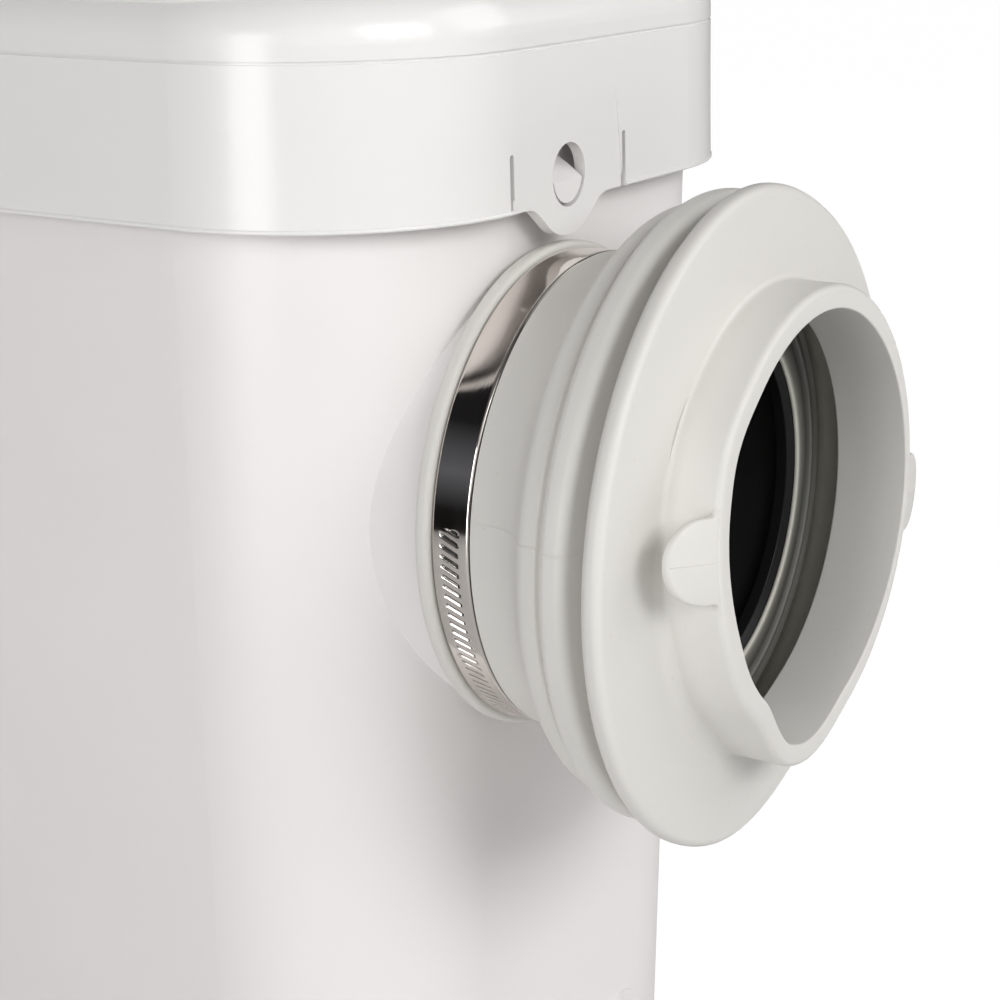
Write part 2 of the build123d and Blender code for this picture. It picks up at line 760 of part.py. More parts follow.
# Strainer basket: an upright cage
basket_drop = inlet_z - shaft_z
basket_middle = (inlet_z + shaft_z) / 2
with BuildPart() as basket:
    with BuildSketch(facing_front(inlet_x, basket_rear_y, basket_middle)):
        SlotCenterToCenter(basket_drop, 2 * basket_radius, rotation=90)
    extrude(amount=basket_depth)
    with BuildSketch(facing_front(inlet_x, basket_rear_y, basket_middle)):
        SlotCenterToCenter(basket_drop, 2 * (basket_radius - basket_wall), rotation=90)
    extrude(amount=basket_depth - basket_wall, mode=Mode.SUBTRACT)
    with BuildSketch(facing_front(inlet_x, basket_rear_y, inlet_z)):
        Circle(tube_radius - tube_wall)
    extrude(amount=basket_depth, mode=Mode.SUBTRACT)
    # Rows of slots through both side walls, and through the bottom
    basket_middle_y = (basket_front_y + basket_rear_y) / 2
    through = Plane(
        origin=(inlet_x - basket_radius - overrun, basket_middle_y, basket_middle),
        x_dir=(0, 1, 0),
        z_dir=(1, 0, 0),
    )
    with BuildSketch(through):
        with GridLocations(strainer_slot_pitch, basket_drop / 2 + strainer_slot_width, 3, 2):
            SlotOverall(strainer_slot_length, strainer_slot_width, rotation=90)
    extrude(amount=2 * (basket_radius + overrun), mode=Mode.SUBTRACT)
    with BuildSketch(Plane(origin=(inlet_x, basket_middle_y, shaft_z - basket_radius - overrun))):
        with GridLocations(2 * strainer_slot_width, strainer_slot_pitch, 3, 3):
            Circle(strainer_slot_width / 2)
    extrude(amount=basket_radius / 2, mode=Mode.SUBTRACT)
finish(basket, "strainer_basket")

# Grate behind the cutter, which closes the basket
with BuildPart() as grate:
    with BuildSketch(facing_front(inlet_x, grate_rear_y, basket_middle)):
        SlotCenterToCenter(basket_drop, 2 * basket_radius, rotation=90)
        with Locations((0, shaft_z - basket_middle)):
            Circle(grate_eye_radius, mode=Mode.SUBTRACT)
            with PolarLocations(grate_circle_radius, 8, start_angle=22.5):
                Circle(grate_hole_radius, mode=Mode.SUBTRACT)
    extrude(amount=grate_thickness)
finish(grate, "cutter_grate")

# Pump casing with its spout
spout_top_z = shaft_z + volute_radius + spout_rise
spout_y = (grate_rear_y + volute_rear_y) / 2
with BuildPart() as volute:
    with BuildSketch(facing_front(inlet_x, volute_rear_y, shaft_z)):
        Circle(volute_radius)
    extrude(amount=volute_rear_y - grate_rear_y)
    with BuildSketch(Plane(origin=(riser_x, spout_y, shaft_z))):
        Circle(spout_radius)
    extrude(amount=spout_top_z - shaft_z)
    with BuildSketch(facing_front(inlet_x, volute_rear_y - volute_wall, shaft_z)):
        Circle(volute_radius - volute_wall)
    extrude(amount=volute_rear_y - grate_rear_y - 2 * volute_wall, mode=Mode.SUBTRACT)
    with BuildSketch(Plane(origin=(riser_x, spout_y, shaft_z))):
        Circle(spout_radius - spout_wall)
    extrude(amount=spout_top_z - shaft_z + overrun, mode=Mode.SUBTRACT)
    with BuildSketch(facing_front(inlet_x, grate_rear_y + volute_wall + overrun, shaft_z)):
        Circle(volute_eye_radius)
    extrude(amount=volute_wall + 2 * overrun, mode=Mode.SUBTRACT)
    with BuildSketch(facing_front(inlet_x, volute_rear_y + overrun, shaft_z)):
        Circle(seal_radius + snug)
    extrude(amount=volute_wall + 2 * overrun, mode=Mode.SUBTRACT)
finish(volute, "pump_casing")

# Motor cover: flange with screw ears, plug, pockets of the shaft seal and front bearing
ear_circle_radius = motor_radius + ear_circle_rise
cover_rear_y = volute_rear_y + cover_flange
plug_rear_y = cover_rear_y + cover_plug
bearing_front_y = plug_rear_y - bearing_width
with BuildPart() as motor_cover:
    with BuildSketch(facing_front(inlet_x, cover_rear_y, shaft_z)):
        Circle(motor_radius)
        with PolarLocations(ear_circle_radius, 4, start_angle=45):
            Circle(ear_lug_radius)
        with PolarLocations(ear_circle_radius, 4, start_angle=45):
            Circle(motor_screw_radius + snug, mode=Mode.SUBTRACT)
    extrude(amount=cover_flange)
    with BuildSketch(facing_front(inlet_x, plug_rear_y, shaft_z)):
        Circle(motor_radius - motor_wall - snug)
    extrude(amount=cover_plug)
    with BuildSketch(facing_front(inlet_x, plug_rear_y, shaft_z)):
        Circle(bearing_radius + snug)
    extrude(amount=bearing_width, mode=Mode.SUBTRACT)
    with BuildSketch(facing_front(inlet_x, volute_rear_y + seal_sunk, shaft_z)):
        Circle(seal_radius + snug)
    extrude(amount=seal_sunk, mode=Mode.SUBTRACT)
    with BuildSketch(facing_front(inlet_x, plug_rear_y, shaft_z)):
        Circle(shaft_radius + overrun)
    extrude(amount=cover_flange + cover_plug, mode=Mode.SUBTRACT)
finish(motor_cover, "motor_cover")

# Motor housing: a cup with the rear bearing's seat and ears for the screws
rear_bearing_y = motor_rear_y - motor_wall - bearing_width
with BuildPart() as motor_housing:
    with BuildSketch(facing_front(inlet_x, motor_rear_y, shaft_z)):
        Circle(motor_radius)
    extrude(amount=motor_rear_y - cover_rear_y)
    fillet(motor_housing.faces().sort_by(Axis.Y)[-1].edges(), motor_end_round)
    with BuildSketch(facing_front(inlet_x, cover_rear_y + ear_lug_depth, shaft_z)):
        with PolarLocations(ear_circle_radius, 4, start_angle=45):
            Circle(ear_lug_radius)
    extrude(amount=ear_lug_depth)
    with BuildSketch(facing_front(inlet_x, rear_bearing_y, shaft_z)):
        Circle(motor_radius - motor_wall)
    extrude(amount=rear_bearing_y - cover_rear_y, mode=Mode.SUBTRACT)
    with BuildSketch(facing_front(inlet_x, motor_rear_y - motor_wall, shaft_z)):
        Circle(motor_radius - motor_end_round)
        Circle(bearing_radius + motor_wall, mode=Mode.SUBTRACT)
    extrude(amount=bearing_width + overrun, mode=Mode.SUBTRACT)
    with BuildSketch(facing_front(inlet_x, motor_rear_y - motor_wall, shaft_z)):
        Circle(bearing_radius + snug)
    extrude(amount=bearing_width + overrun, mode=Mode.SUBTRACT)
    with BuildSketch(facing_front(inlet_x, cover_rear_y + ear_lug_depth - motor_wall / 2, shaft_z)):
        with PolarLocations(ear_circle_radius, 4, start_angle=45):
            Circle(motor_screw_radius + snug)
    extrude(amount=ear_lug_depth, mode=Mode.SUBTRACT)
finish(motor_housing, "motor_housing")

with BuildPart() as motor_screws:
    with BuildSketch(facing_front(inlet_x, cover_rear_y + ear_lug_depth / 2, shaft_z)):
        with PolarLocations(ear_circle_radius, 4, start_angle=45):
            Circle(motor_screw_radius)
    extrude(amount=ear_lug_depth / 2 + cover_flange)
    with BuildSketch(facing_front(inlet_x, volute_rear_y, shaft_z)):
        with PolarLocations(ear_circle_radius, 4, start_angle=45):
            Circle(motor_screw_head)
            RegularPolygon(motor_screw_head / 2, 6, mode=Mode.SUBTRACT)
    extrude(amount=motor_screw_head_height)
    with BuildSketch(facing_front(inlet_x, volute_rear_y, shaft_z)):
        with PolarLocations(ear_circle_radius, 4, start_angle=45):
            Circle(motor_screw_radius)
    extrude(amount=motor_screw_head_height / 2)
finish(motor_screws, "motor_screws")


def ring_on_shaft(outer, inner, front_y, length):
    """A ring round the shaft's axis, from its front face backwards."""
    with BuildPart() as ring:
        with BuildSketch(facing_front(inlet_x, front_y + length, shaft_z)):
            Circle(outer)
            Circle(inner, mode=Mode.SUBTRACT)
        extrude(amount=length)
    return ring


shaft_bore = shaft_radius + running_fit
finish(ring_on_shaft(bearing_radius, shaft_bore, bearing_front_y, bearing_width), "bearing_front")
finish(ring_on_shaft(bearing_radius, shaft_bore, rear_bearing_y, bearing_width), "bearing_rear")
seal_front_y = volute_rear_y + seal_sunk - seal_length
finish(ring_on_shaft(seal_radius, shaft_bore, seal_front_y, seal_length), "shaft_seal")
stator_radius = motor_radius - motor_wall - snug
rotor_radius = motor_radius - stator_depth
stator_bore = rotor_radius + air_gap
finish(ring_on_shaft(stator_radius, stator_bore, core_front_y, core_length), "stator")
with BuildPart() as coils:
    for rear_y in (core_front_y, core_rear_y + coil_length):
        with BuildSketch(facing_front(inlet_x, rear_y, shaft_z)):
            Circle(motor_radius - coil_outer_gap)
            Circle(rotor_radius + coil_inner_gap, mode=Mode.SUBTRACT)
        extrude(amount=coil_length)
    fillet(coils.edges().filter_by(GeomType.CIRCLE), coil_length / 4)
finish(coils, "stator_coils")

# Everything that turns: rotor, shaft, impeller, spacer, cutter and its nut
finish(ring_on_shaft(rotor_radius, shaft_radius + snug, core_front_y, core_length), "rotor")
with BuildPart() as shaft:
    with BuildSketch(facing_front(inlet_x, shaft_rear_y, shaft_z)):
        Circle(shaft_radius)
    extrude(amount=shaft_rear_y - shaft_front_y)
    chamfer(shaft.edges().filter_by(GeomType.CIRCLE), shaft_radius / 8)
finish(shaft, "motor_shaft")

impeller_rear_y = volute_rear_y - volute_wall - impeller_gap
hub_front_y = impeller_rear_y - hub_length
with BuildPart() as impeller:
    with BuildSketch(facing_front(inlet_x, impeller_rear_y, shaft_z)):
        Circle(impeller_radius)
    extrude(amount=impeller_plate)
    with BuildSketch(facing_front(inlet_x, impeller_rear_y, shaft_z)):
        Circle(hub_radius)
    extrude(amount=hub_length)
    # Swept-back vanes
    vane_plane = facing_front(inlet_x, impeller_rear_y - impeller_plate, shaft_z)
    for vane in range(vane_count):
        with BuildSketch(vane_plane.rotated((0, vane * 360 / vane_count, 0))):
            with BuildLine():
                ThreePointArc(
                    (hub_radius - vane_thickness / 2, 0),
                    (0.6 * impeller_radius, 0.2 * impeller_radius),
                    (0.9 * impeller_radius, 0.05 * impeller_radius),
                )
            trace(line_width=vane_thickness)
        extrude(amount=vane_height)
    with BuildSketch(facing_front(inlet_x, impeller_rear_y, shaft_z)):
        Circle(shaft_radius + snug)
    extrude(amount=hub_length, mode=Mode.SUBTRACT)
finish(impeller, "impeller")
cutter_rear_y = cutter_y + cutter_thickness
finish(
    ring_on_shaft(spacer_radius, shaft_radius + snug, cutter_rear_y, hub_front_y - cutter_rear_y),
    "shaft_spacer",
)

with BuildPart() as cutter:
    with BuildSketch(facing_front(inlet_x, cutter_rear_y, shaft_z)):
        Rectangle(2 * cutter_reach, cutter_width)
        Circle(cutter_width * 0.8)
        Circle(shaft_radius + snug, mode=Mode.SUBTRACT)
    extrude(amount=cutter_thickness)
    # Turned-up teeth at both ends
    with BuildSketch(facing_front(inlet_x, cutter_y, shaft_z)):
        with Locations(
            (cutter_reach - cutter_tooth / 2, 0),
            (cutter_tooth / 2 - cutter_reach, 0),
        ):
            Rectangle(cutter_tooth, cutter_width)
    extrude(amount=2 * cutter_tooth)
finish(cutter, "cutter_blade")

with BuildPart() as cutter_nut:
    with BuildSketch(facing_front(inlet_x, cutter_y, shaft_z)):
        RegularPolygon(nut_flat_radius, 6)
        Circle(shaft_radius + snug, mode=Mode.SUBTRACT)
    extrude(amount=nut_height)
finish(cutter_nut, "cutter_nut")

# Rubber saddles under the motor, on the tank's floor
cradle_rise = math.sqrt(motor_radius**2 - (cradle_width / 2) ** 2)
for cradle_y, end_name in ((core_front_y, "front"), (core_rear_y, "back")):
    with BuildPart() as cradle:
        with BuildSketch(facing_front(inlet_x, cradle_y + cradle_thickness / 2, floor_z)):
            Rectangle(cradle_width, shaft_z - cradle_rise - floor_z, align=(Align.CENTER, Align.MIN))
            with Locations((0, shaft_z - floor_z)):
                Circle(motor_radius + snug, mode=Mode.SUBTRACT)
        extrude(amount=cradle_thickness)
    finish(cradle, f"motor_saddle_{end_name}")

# Level switch. Dip tube, open at the bottom, with the lower half of the chamber on top
with BuildPart() as dip_tube:
    with BuildSketch(Plane.XY.offset(dip_bottom_z)):
        with Locations((dip_x, dip_y)):
            Circle(dip_radius)
    extrude(amount=dip_top_z - dip_bottom_z)
    with BuildSketch(Plane.XY.offset(dip_top_z)):
        with Locations((dip_x, dip_y)):
            Circle(chamber_radius)
    extrude(amount=chamber_base)
    with BuildSketch(Plane.XY.offset(dip_bottom_z - overrun)):
        with Locations((dip_x, dip_y)):
            Circle(dip_radius - dip_wall)
    extrude(amount=dip_top_z + chamber_base + overrun - dip_bottom_z, mode=Mode.SUBTRACT)
    with BuildSketch(Plane.XY.offset(dip_top_z + dip_wall)):
        with Locations((dip_x, dip_y)):
            Circle(plate_radius + dip_wall)
    extrude(amount=chamber_base, mode=Mode.SUBTRACT)
finish(dip_tube, "dip_tube")

membrane_z = dip_top_z + chamber_base
with BuildPart() as membrane:
    with BuildSketch(Plane.XY.offset(membrane_z)):
        with Locations((dip_x, dip_y)):
            Circle(chamber_radius)
    extrude(amount=membrane_thickness)
finish(membrane, "switch_diaphragm")

cap_z = membrane_z + membrane_thickness
plate_z = cap_z + rest_gap
with BuildPart() as switch_cap:
    with BuildSketch(Plane.XY.offset(cap_z)):
        with Locations((dip_x, dip_y)):
            Circle(chamber_radius)
    extrude(amount=chamber_cap)
    with BuildSketch(Plane.XY.offset(cap_z)):
        with Locations((dip_x, dip_y)):
            Circle(plate_radius + rest_gap)
    extrude(amount=chamber_cap - dip_wall, mode=Mode.SUBTRACT)
    with BuildSketch(Plane.XY.offset(cap_z)):
        with Locations((dip_x, dip_y)):
            Circle(plunger_radius + running_fit)
    extrude(amount=chamber_cap + overrun, mode=Mode.SUBTRACT)
finish(switch_cap, "switch_cap")

plunger_top_z = cap_z + chamber_cap + plunger_rise
with BuildPart() as plunger:
    with BuildSketch(Plane.XY.offset(plate_z)):
        with Locations((dip_x, dip_y)):
            Circle(plate_radius)
    extrude(amount=plate_thickness)
    with BuildSketch(Plane.XY.offset(plate_z)):
        with Locations((dip_x, dip_y)):
            Circle(plunger_radius)
    extrude(amount=plunger_top_z - plate_z)
finish(plunger, "switch_plunger")

# Microswitch on a bridge over the plunger, and the return spring under the bridge
bridge_z = plunger_top_z + plunger_travel + rest_gap
with BuildPart() as microswitch:
    for side in (-1, 1):
        with BuildSketch(Plane.XY.offset(cap_z + chamber_cap)):
            with Locations((dip_x, dip_y + side * (switch_length - dip_wall) / 2)):
                Rectangle(switch_width, dip_wall)
        extrude(amount=bridge_z - cap_z - chamber_cap)
    with BuildSketch(Plane.XY.offset(bridge_z)):
        with Locations((dip_x, dip_y)):
            Rectangle(switch_width, switch_length)
    extrude(amount=switch_height)
    fillet(microswitch.edges().filter_by(Axis.Z).group_by(Axis.Z)[-1], dip_wall / 3)
finish(microswitch, "microswitch")

# Electrical box on ribs that sit on the motor, with its lid, capacitor and terminals
box_x = riser_x - hose_radius - box_side_gap - box_width / 2
box_y = motor_rear_y - motor_end_round - box_length / 2
box_floor_z = shaft_z + motor_radius + box_lift
with BuildPart() as electrical_box:
    with BuildSketch(Plane.XY.offset(box_floor_z)):
        with Locations((box_x, box_y)):
            RectangleRounded(box_width, box_length, box_round)
    extrude(amount=box_height)
    with BuildSketch(Plane.XY.offset(box_floor_z + box_wall)):
        with Locations((box_x, box_y)):
            RectangleRounded(box_width - 2 * box_wall, box_length - 2 * box_wall, box_round - box_wall)
    extrude(amount=box_height, mode=Mode.SUBTRACT)
    for side in (-1, 1):
        rib_y = box_y + side * box_length / 4
        rib_top_z = box_floor_z + box_wall / 2
        with BuildSketch(facing_front(box_x, rib_y + box_wall, rib_top_z)):
            Rectangle(box_width - 2 * box_round, rib_top_z - shaft_z, align=(Align.CENTER, Align.MAX))
            with Locations((inlet_x - box_x, shaft_z - rib_top_z)):
                Circle(motor_radius + snug, mode=Mode.SUBTRACT)
        extrude(amount=2 * box_wall)
finish(electrical_box, "electrical_box")

box_top_z = box_floor_z + box_height
with BuildPart() as box_lid:
    with BuildSketch(Plane.XY.offset(box_top_z)):
        with Locations((box_x, box_y)):
            RectangleRounded(box_width, box_length, box_round)
    extrude(amount=box_lid_thickness)
    chamfer(box_lid.faces().sort_by(Axis.Z)[-1].edges(), box_lid_thickness / 3)
finish(box_lid, "electrical_box_lid")

capacitor_x = box_x - box_width / 2 + box_wall + rest_gap + capacitor_radius
with BuildPart() as capacitor:
    with BuildSketch(
        facing_front(
            capacitor_x,
            box_y + capacitor_length / 2,
            box_floor_z + box_wall + snug + capacitor_radius,
        )
    ):
        Circle(capacitor_radius)
    extrude(amount=capacitor_length)
    fillet(capacitor.edges().filter_by(GeomType.CIRCLE), capacitor_radius / 10)
finish(capacitor, "start_capacitor")

terminal_width = box_width - 2 * (box_wall + 2 * rest_gap + capacitor_radius)
terminal_x = box_x + box_width / 2 - box_wall - rest_gap - terminal_width / 2
with BuildPart() as terminals:
    with BuildSketch(Plane.XY.offset(box_floor_z + box_wall)):
        with Locations((terminal_x, box_y)):
            Rectangle(terminal_width, terminal_length)
    extrude(amount=terminal_height)
    with BuildSketch(Plane.XY.offset(box_floor_z + box_wall + terminal_height)):
        with Locations((terminal_x, box_y)):
            with GridLocations(terminal_width / 2, terminal_pitch, 2, 4):
                Circle(terminal_hole_radius)
    extrude(amount=-terminal_height / 2, mode=Mode.SUBTRACT)
finish(terminals, "terminal_block")

# Riser hose from the pump's spout, over the motor, to the valve
hose_start_z = spout_top_z - hose_grip
chamber_rear_y = tank_end(outlet_z - valve_radius) - tank_wall - snug
chamber_front_y = chamber_rear_y - valve_length
valve_front_y = chamber_front_y - valve_inlet_length
hose_end_y = valve_front_y + hose_grip
with BuildPart() as riser_hose:
    with BuildLine() as hose_path:
        FilletPolyline(
            (riser_x, spout_y, hose_start_z),
            (riser_x, spout_y, outlet_z),
            (riser_x, hose_end_y, outlet_z),
            radius=hose_bend_radius,
        )
    with BuildSketch(Plane(origin=(riser_x, spout_y, hose_start_z))):
        Circle(hose_radius)
        Circle(spout_radius + snug, mode=Mode.SUBTRACT)
    sweep()
finish(riser_hose, "riser_hose")

# Valve body: inlet stub, seat, chamber, and the spigot through the end wall
spigot_end_y = tank_end(outlet_z) + outlet_spigot_length
flap_pin_y = chamber_front_y + seat_thickness + rest_gap + 2 * flap_pin_radius + running_fit
with BuildPart() as valve_body:
    with BuildSketch(facing_back(riser_x, valve_front_y, outlet_z)):
        Circle(valve_inlet_radius)
    extrude(amount=valve_inlet_length)
    with BuildSketch(facing_back(riser_x, chamber_front_y, outlet_z)):
        Circle(valve_radius)
    extrude(amount=valve_length)
    with BuildSketch(facing_back(riser_x, chamber_rear_y, outlet_z)):
        Circle(outlet_spigot_radius)
    extrude(amount=spigot_end_y - chamber_rear_y)
    with BuildSketch(facing_back(riser_x, valve_front_y, outlet_z)):
        Circle(seat_bore)
    extrude(amount=valve_length, mode=Mode.SUBTRACT)
    with BuildSketch(facing_back(riser_x, chamber_front_y + seat_thickness, outlet_z)):
        Circle(valve_radius - valve_wall)
    extrude(amount=valve_length - seat_thickness - valve_wall, mode=Mode.SUBTRACT)
    with BuildSketch(facing_back(riser_x, chamber_front_y + valve_length / 2, outlet_z)):
        Circle(outlet_spigot_bore)
    extrude(amount=spigot_end_y - chamber_front_y, mode=Mode.SUBTRACT)
    with BuildSketch(
        Plane(
            origin=(riser_x - valve_radius, flap_pin_y, outlet_z + flap_pin_rise),
            z_dir=(1, 0, 0),
        )
    ):
        Circle(flap_pin_radius + snug)
    extrude(amount=2 * valve_radius, mode=Mode.SUBTRACT)
finish(valve_body, "valve_body")

# Non-return flap that hangs from a pin, at rest on its seat
pin_half = math.sqrt(valve_radius**2 - flap_pin_rise**2) - rest_gap
barrel_radius = 2 * flap_pin_radius
barrel_half = 2 * barrel_radius
with BuildPart() as flap_pin:
    with BuildSketch(
        Plane(
            origin=(riser_x - pin_half, flap_pin_y, outlet_z + flap_pin_rise),
            z_dir=(1, 0, 0),
        )
    ):
        Circle(flap_pin_radius)
    extrude(amount=2 * pin_half)
finish(flap_pin, "flap_pin")

with BuildPart() as flap:
    with BuildSketch(facing_back(riser_x, chamber_front_y + seat_thickness + rest_gap, outlet_z)):
        Circle(flap_radius)
    extrude(amount=flap_thickness)
    with BuildSketch(
        Plane(
            origin=(riser_x - barrel_half / 2, flap_pin_y, outlet_z + flap_pin_rise),
            z_dir=(1, 0, 0),
        )
    ):
        Circle(barrel_radius)
    extrude(amount=barrel_half)
    with BuildSketch(
        Plane(
            origin=(riser_x - barrel_half / 2, flap_pin_y, outlet_z + flap_pin_rise),
            z_dir=(1, 0, 0),
        )
    ):
        Circle(flap_pin_radius + running_fit)
    extrude(amount=barrel_half, mode=Mode.SUBTRACT)
finish(flap, "non_return_flap")

with BuildPart() as outlet_ring:
    with BuildSketch(facing_back(riser_x, tank_end(outlet_z + outlet_ring_radius) + snug, outlet_z)):
        RegularPolygon(outlet_ring_radius, 8)
        Circle(outlet_spigot_radius + snug, mode=Mode.SUBTRACT)
    extrude(amount=outlet_ring_grip)
finish(outlet_ring, "outlet_nut")

# Swivel elbow on the spigot
elbow_start_y = tank_end(outlet_z + outlet_ring_radius) + snug + outlet_ring_grip + rest_gap
elbow_radius = outlet_spigot_radius + running_fit + elbow_wall
elbow_socket_depth = spigot_end_y + rest_gap - elbow_start_y
elbow_corner_y = elbow_start_y + elbow_socket_depth + elbow_wall + elbow_bend_radius
elbow_top_z = outlet_z + elbow_bend_radius + elbow_stub
with BuildPart() as elbow:
    with BuildLine() as elbow_path:
        FilletPolyline(
            (riser_x, elbow_start_y, outlet_z),
            (riser_x, elbow_corner_y, outlet_z),
            (riser_x, elbow_corner_y, elbow_top_z),
            radius=elbow_bend_radius,
        )
    with BuildSketch(facing_back(riser_x, elbow_start_y, outlet_z)):
        Circle(elbow_radius)
        Circle(outlet_spigot_bore, mode=Mode.SUBTRACT)
    sweep()
    with BuildSketch(facing_back(riser_x, elbow_start_y, outlet_z)):
        Circle(outlet_spigot_radius + running_fit)
    extrude(amount=elbow_socket_depth, mode=Mode.SUBTRACT)
    with BuildSketch(Plane.XY.offset(elbow_top_z - elbow_wall)):
        with Locations((riser_x, elbow_corner_y)):
            Circle(elbow_radius + elbow_bead)
            Circle(outlet_spigot_bore, mode=Mode.SUBTRACT)
    extrude(amount=elbow_wall)
    with BuildSketch(Plane.XY.offset(elbow_top_z)):
        with Locations((riser_x, elbow_corner_y)):
            Circle(elbow_bore)
    extrude(amount=-(elbow_stub - elbow_wall), mode=Mode.SUBTRACT)
finish(elbow, "discharge_elbow")

# Rubber caps and their bands on the side inlets
cap_radius = side_inlet_radius + snug + cap_wall
for side, side_name in ((-1, "left"), (1, "right")):
    start = tank_side(side_inlet_z + cap_radius) + rest_gap
    reach = tank_side(side_inlet_z) + side_inlet_length
    start_plane = Plane(origin=(side * start, side_inlet_y, side_inlet_z), z_dir=(side, 0, 0))
    with BuildPart() as cap:
        with BuildSketch(start_plane):
            Circle(cap_radius)
        extrude(amount=reach + snug + cap_wall - start)
        fillet(cap.faces().sort_by(Axis.X)[-1 if side > 0 else 0].edges(), cap_wall * 0.8)
        with BuildSketch(start_plane):
            Circle(side_inlet_radius + snug)
        extrude(amount=reach + snug - start, mode=Mode.SUBTRACT)
    finish(cap, f"side_cap_{side_name}")
    with BuildPart() as cap_band:
        with BuildSketch(start_plane.offset(cap_wall)):
            Circle(cap_radius + snug + cap_band_thickness)
            Circle(cap_radius + snug, mode=Mode.SUBTRACT)
        extrude(amount=cap_band_width)
    finish(cap_band, f"side_cap_band_{side_name}")

# Cable gland: body through the wall, dome nut outside and locknut inside
gland_y = tank_end(gland_z + gland_nut_radius) + snug
gland_inside_y = tank_end(gland_z - gland_nut_radius) - tank_wall - snug
with BuildPart() as gland:
    with BuildSketch(facing_back(riser_x, gland_y, gland_z)):
        RegularPolygon(gland_nut_radius, 6)
        Circle(gland_throat, mode=Mode.SUBTRACT)
    extrude(amount=gland_flange)
    with BuildSketch(facing_back(riser_x, gland_inside_y - gland_inner_nut, gland_z)):
        Circle(gland_thread_radius)
        Circle(gland_throat, mode=Mode.SUBTRACT)
    extrude(amount=gland_y + gland_flange + gland_nut_length / 2 - gland_inside_y + gland_inner_nut)
finish(gland, "cable_gland")

with BuildPart() as gland_nut:
    with BuildSketch(facing_back(riser_x, gland_y + gland_flange, gland_z)):
        Circle(gland_nut_radius * math.cos(math.pi / 6))
    extrude(amount=gland_nut_length)
    fillet(gland_nut.faces().sort_by(Axis.Y)[-1].edges(), gland_flange)
    with BuildSketch(facing_back(riser_x, gland_y + gland_flange, gland_z)):
        Circle(gland_thread_radius + snug)
    extrude(amount=gland_nut_length / 2 + snug, mode=Mode.SUBTRACT)
    with BuildSketch(facing_back(riser_x, gland_y + gland_flange, gland_z)):
        Circle(gland_bore)
    extrude(amount=gland_nut_length, mode=Mode.SUBTRACT)
finish(gland_nut, "gland_nut")

with BuildPart() as gland_locknut:
    with BuildSketch(facing_front(riser_x, gland_inside_y, gland_z)):
        RegularPolygon(gland_nut_radius, 6)
        Circle(gland_thread_radius + snug, mode=Mode.SUBTRACT)
    extrude(amount=gland_inner_nut - rest_gap)
finish(gland_locknut, "gland_locknut")
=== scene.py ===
import json
import math

import bmesh
import bpy
from mathutils import Matrix, Vector


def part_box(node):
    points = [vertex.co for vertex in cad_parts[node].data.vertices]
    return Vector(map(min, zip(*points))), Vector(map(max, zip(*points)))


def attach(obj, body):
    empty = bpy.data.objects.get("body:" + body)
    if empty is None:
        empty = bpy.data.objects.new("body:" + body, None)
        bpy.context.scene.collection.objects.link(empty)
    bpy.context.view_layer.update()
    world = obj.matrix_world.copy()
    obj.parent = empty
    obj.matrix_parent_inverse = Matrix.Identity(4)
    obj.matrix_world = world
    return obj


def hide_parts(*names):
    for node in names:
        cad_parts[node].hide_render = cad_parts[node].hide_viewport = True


# Looks of a macerating sewage pump, seen close to its rubber toilet inlet.
# Metres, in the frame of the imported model: Z is up and -Y points out of the inlet.
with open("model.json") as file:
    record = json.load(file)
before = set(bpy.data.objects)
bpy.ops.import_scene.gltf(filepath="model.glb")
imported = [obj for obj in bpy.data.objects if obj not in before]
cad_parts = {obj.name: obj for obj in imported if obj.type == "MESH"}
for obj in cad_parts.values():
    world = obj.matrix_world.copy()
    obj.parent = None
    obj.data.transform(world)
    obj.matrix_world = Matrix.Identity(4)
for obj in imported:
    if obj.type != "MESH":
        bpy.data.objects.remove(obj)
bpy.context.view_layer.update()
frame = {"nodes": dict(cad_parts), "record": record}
nodes = frame["nodes"]
mm = 0.001

# Camera: where it stands, where it looks and its lens
camera_place = (-0.4174, -0.3982, 0.3145)
camera_yaw = 57.93
camera_pitch = 16.53
camera_roll = 0.5
camera_lens = 79.2

# Inlet sleeve: its axis from the frame, and distances along that axis from the clamp's back edge
band_low, band_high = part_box("clamp_band")
axis_x = (band_low.x + band_high.x) / 2
axis_z = (band_low.z + band_high.z) / 2
clamp_back_y = band_high.y
band_width = band_high.y - band_low.y


def link(name, mesh):
    """Puts a new object for a mesh into the scene."""
    piece = bpy.data.objects.new(name, mesh)
    bpy.context.scene.collection.objects.link(piece)
    return piece


def mesh_from(name, bm, smooth_angle=40):
    """Turns a bmesh into an object that is smooth up to an angle."""
    bmesh.ops.recalc_face_normals(bm, faces=bm.faces)
    for face in bm.faces:
        face.smooth = True
    for edge in bm.edges:
        if len(edge.link_faces) == 2 and edge.calc_face_angle(0) > math.radians(smooth_angle):
            edge.smooth = False
    mesh = bpy.data.meshes.new(name)
    bm.to_mesh(mesh)
    bm.free()
    return link(name, mesh)


def rounded(corners, steps=6):
    """A closed outline from corners (x, y, rounding), with each corner as an arc."""
    outline = []
    count = len(corners)
    for index, (x, y, radius) in enumerate(corners):
        here = Vector((x, y))
        back = Vector(corners[index - 1][:2]) - here
        ahead = Vector(corners[(index + 1) % count][:2]) - here
        if radius <= 0:
            outline.append(here)
            continue
        half = back.angle(ahead) / 2
        reach = radius / math.tan(half)
        start = here + back.normalized() * reach
        end = here + ahead.normalized() * reach
        middle = here + (back.normalized() + ahead.normalized()).normalized() * (radius / math.sin(half))
        for step in range(steps + 1):
            share = step / steps
            turn = (start - middle).angle_signed(end - middle) * share
            outline.append(middle + Matrix.Rotation(-turn, 2) @ (start - middle))
    return outline


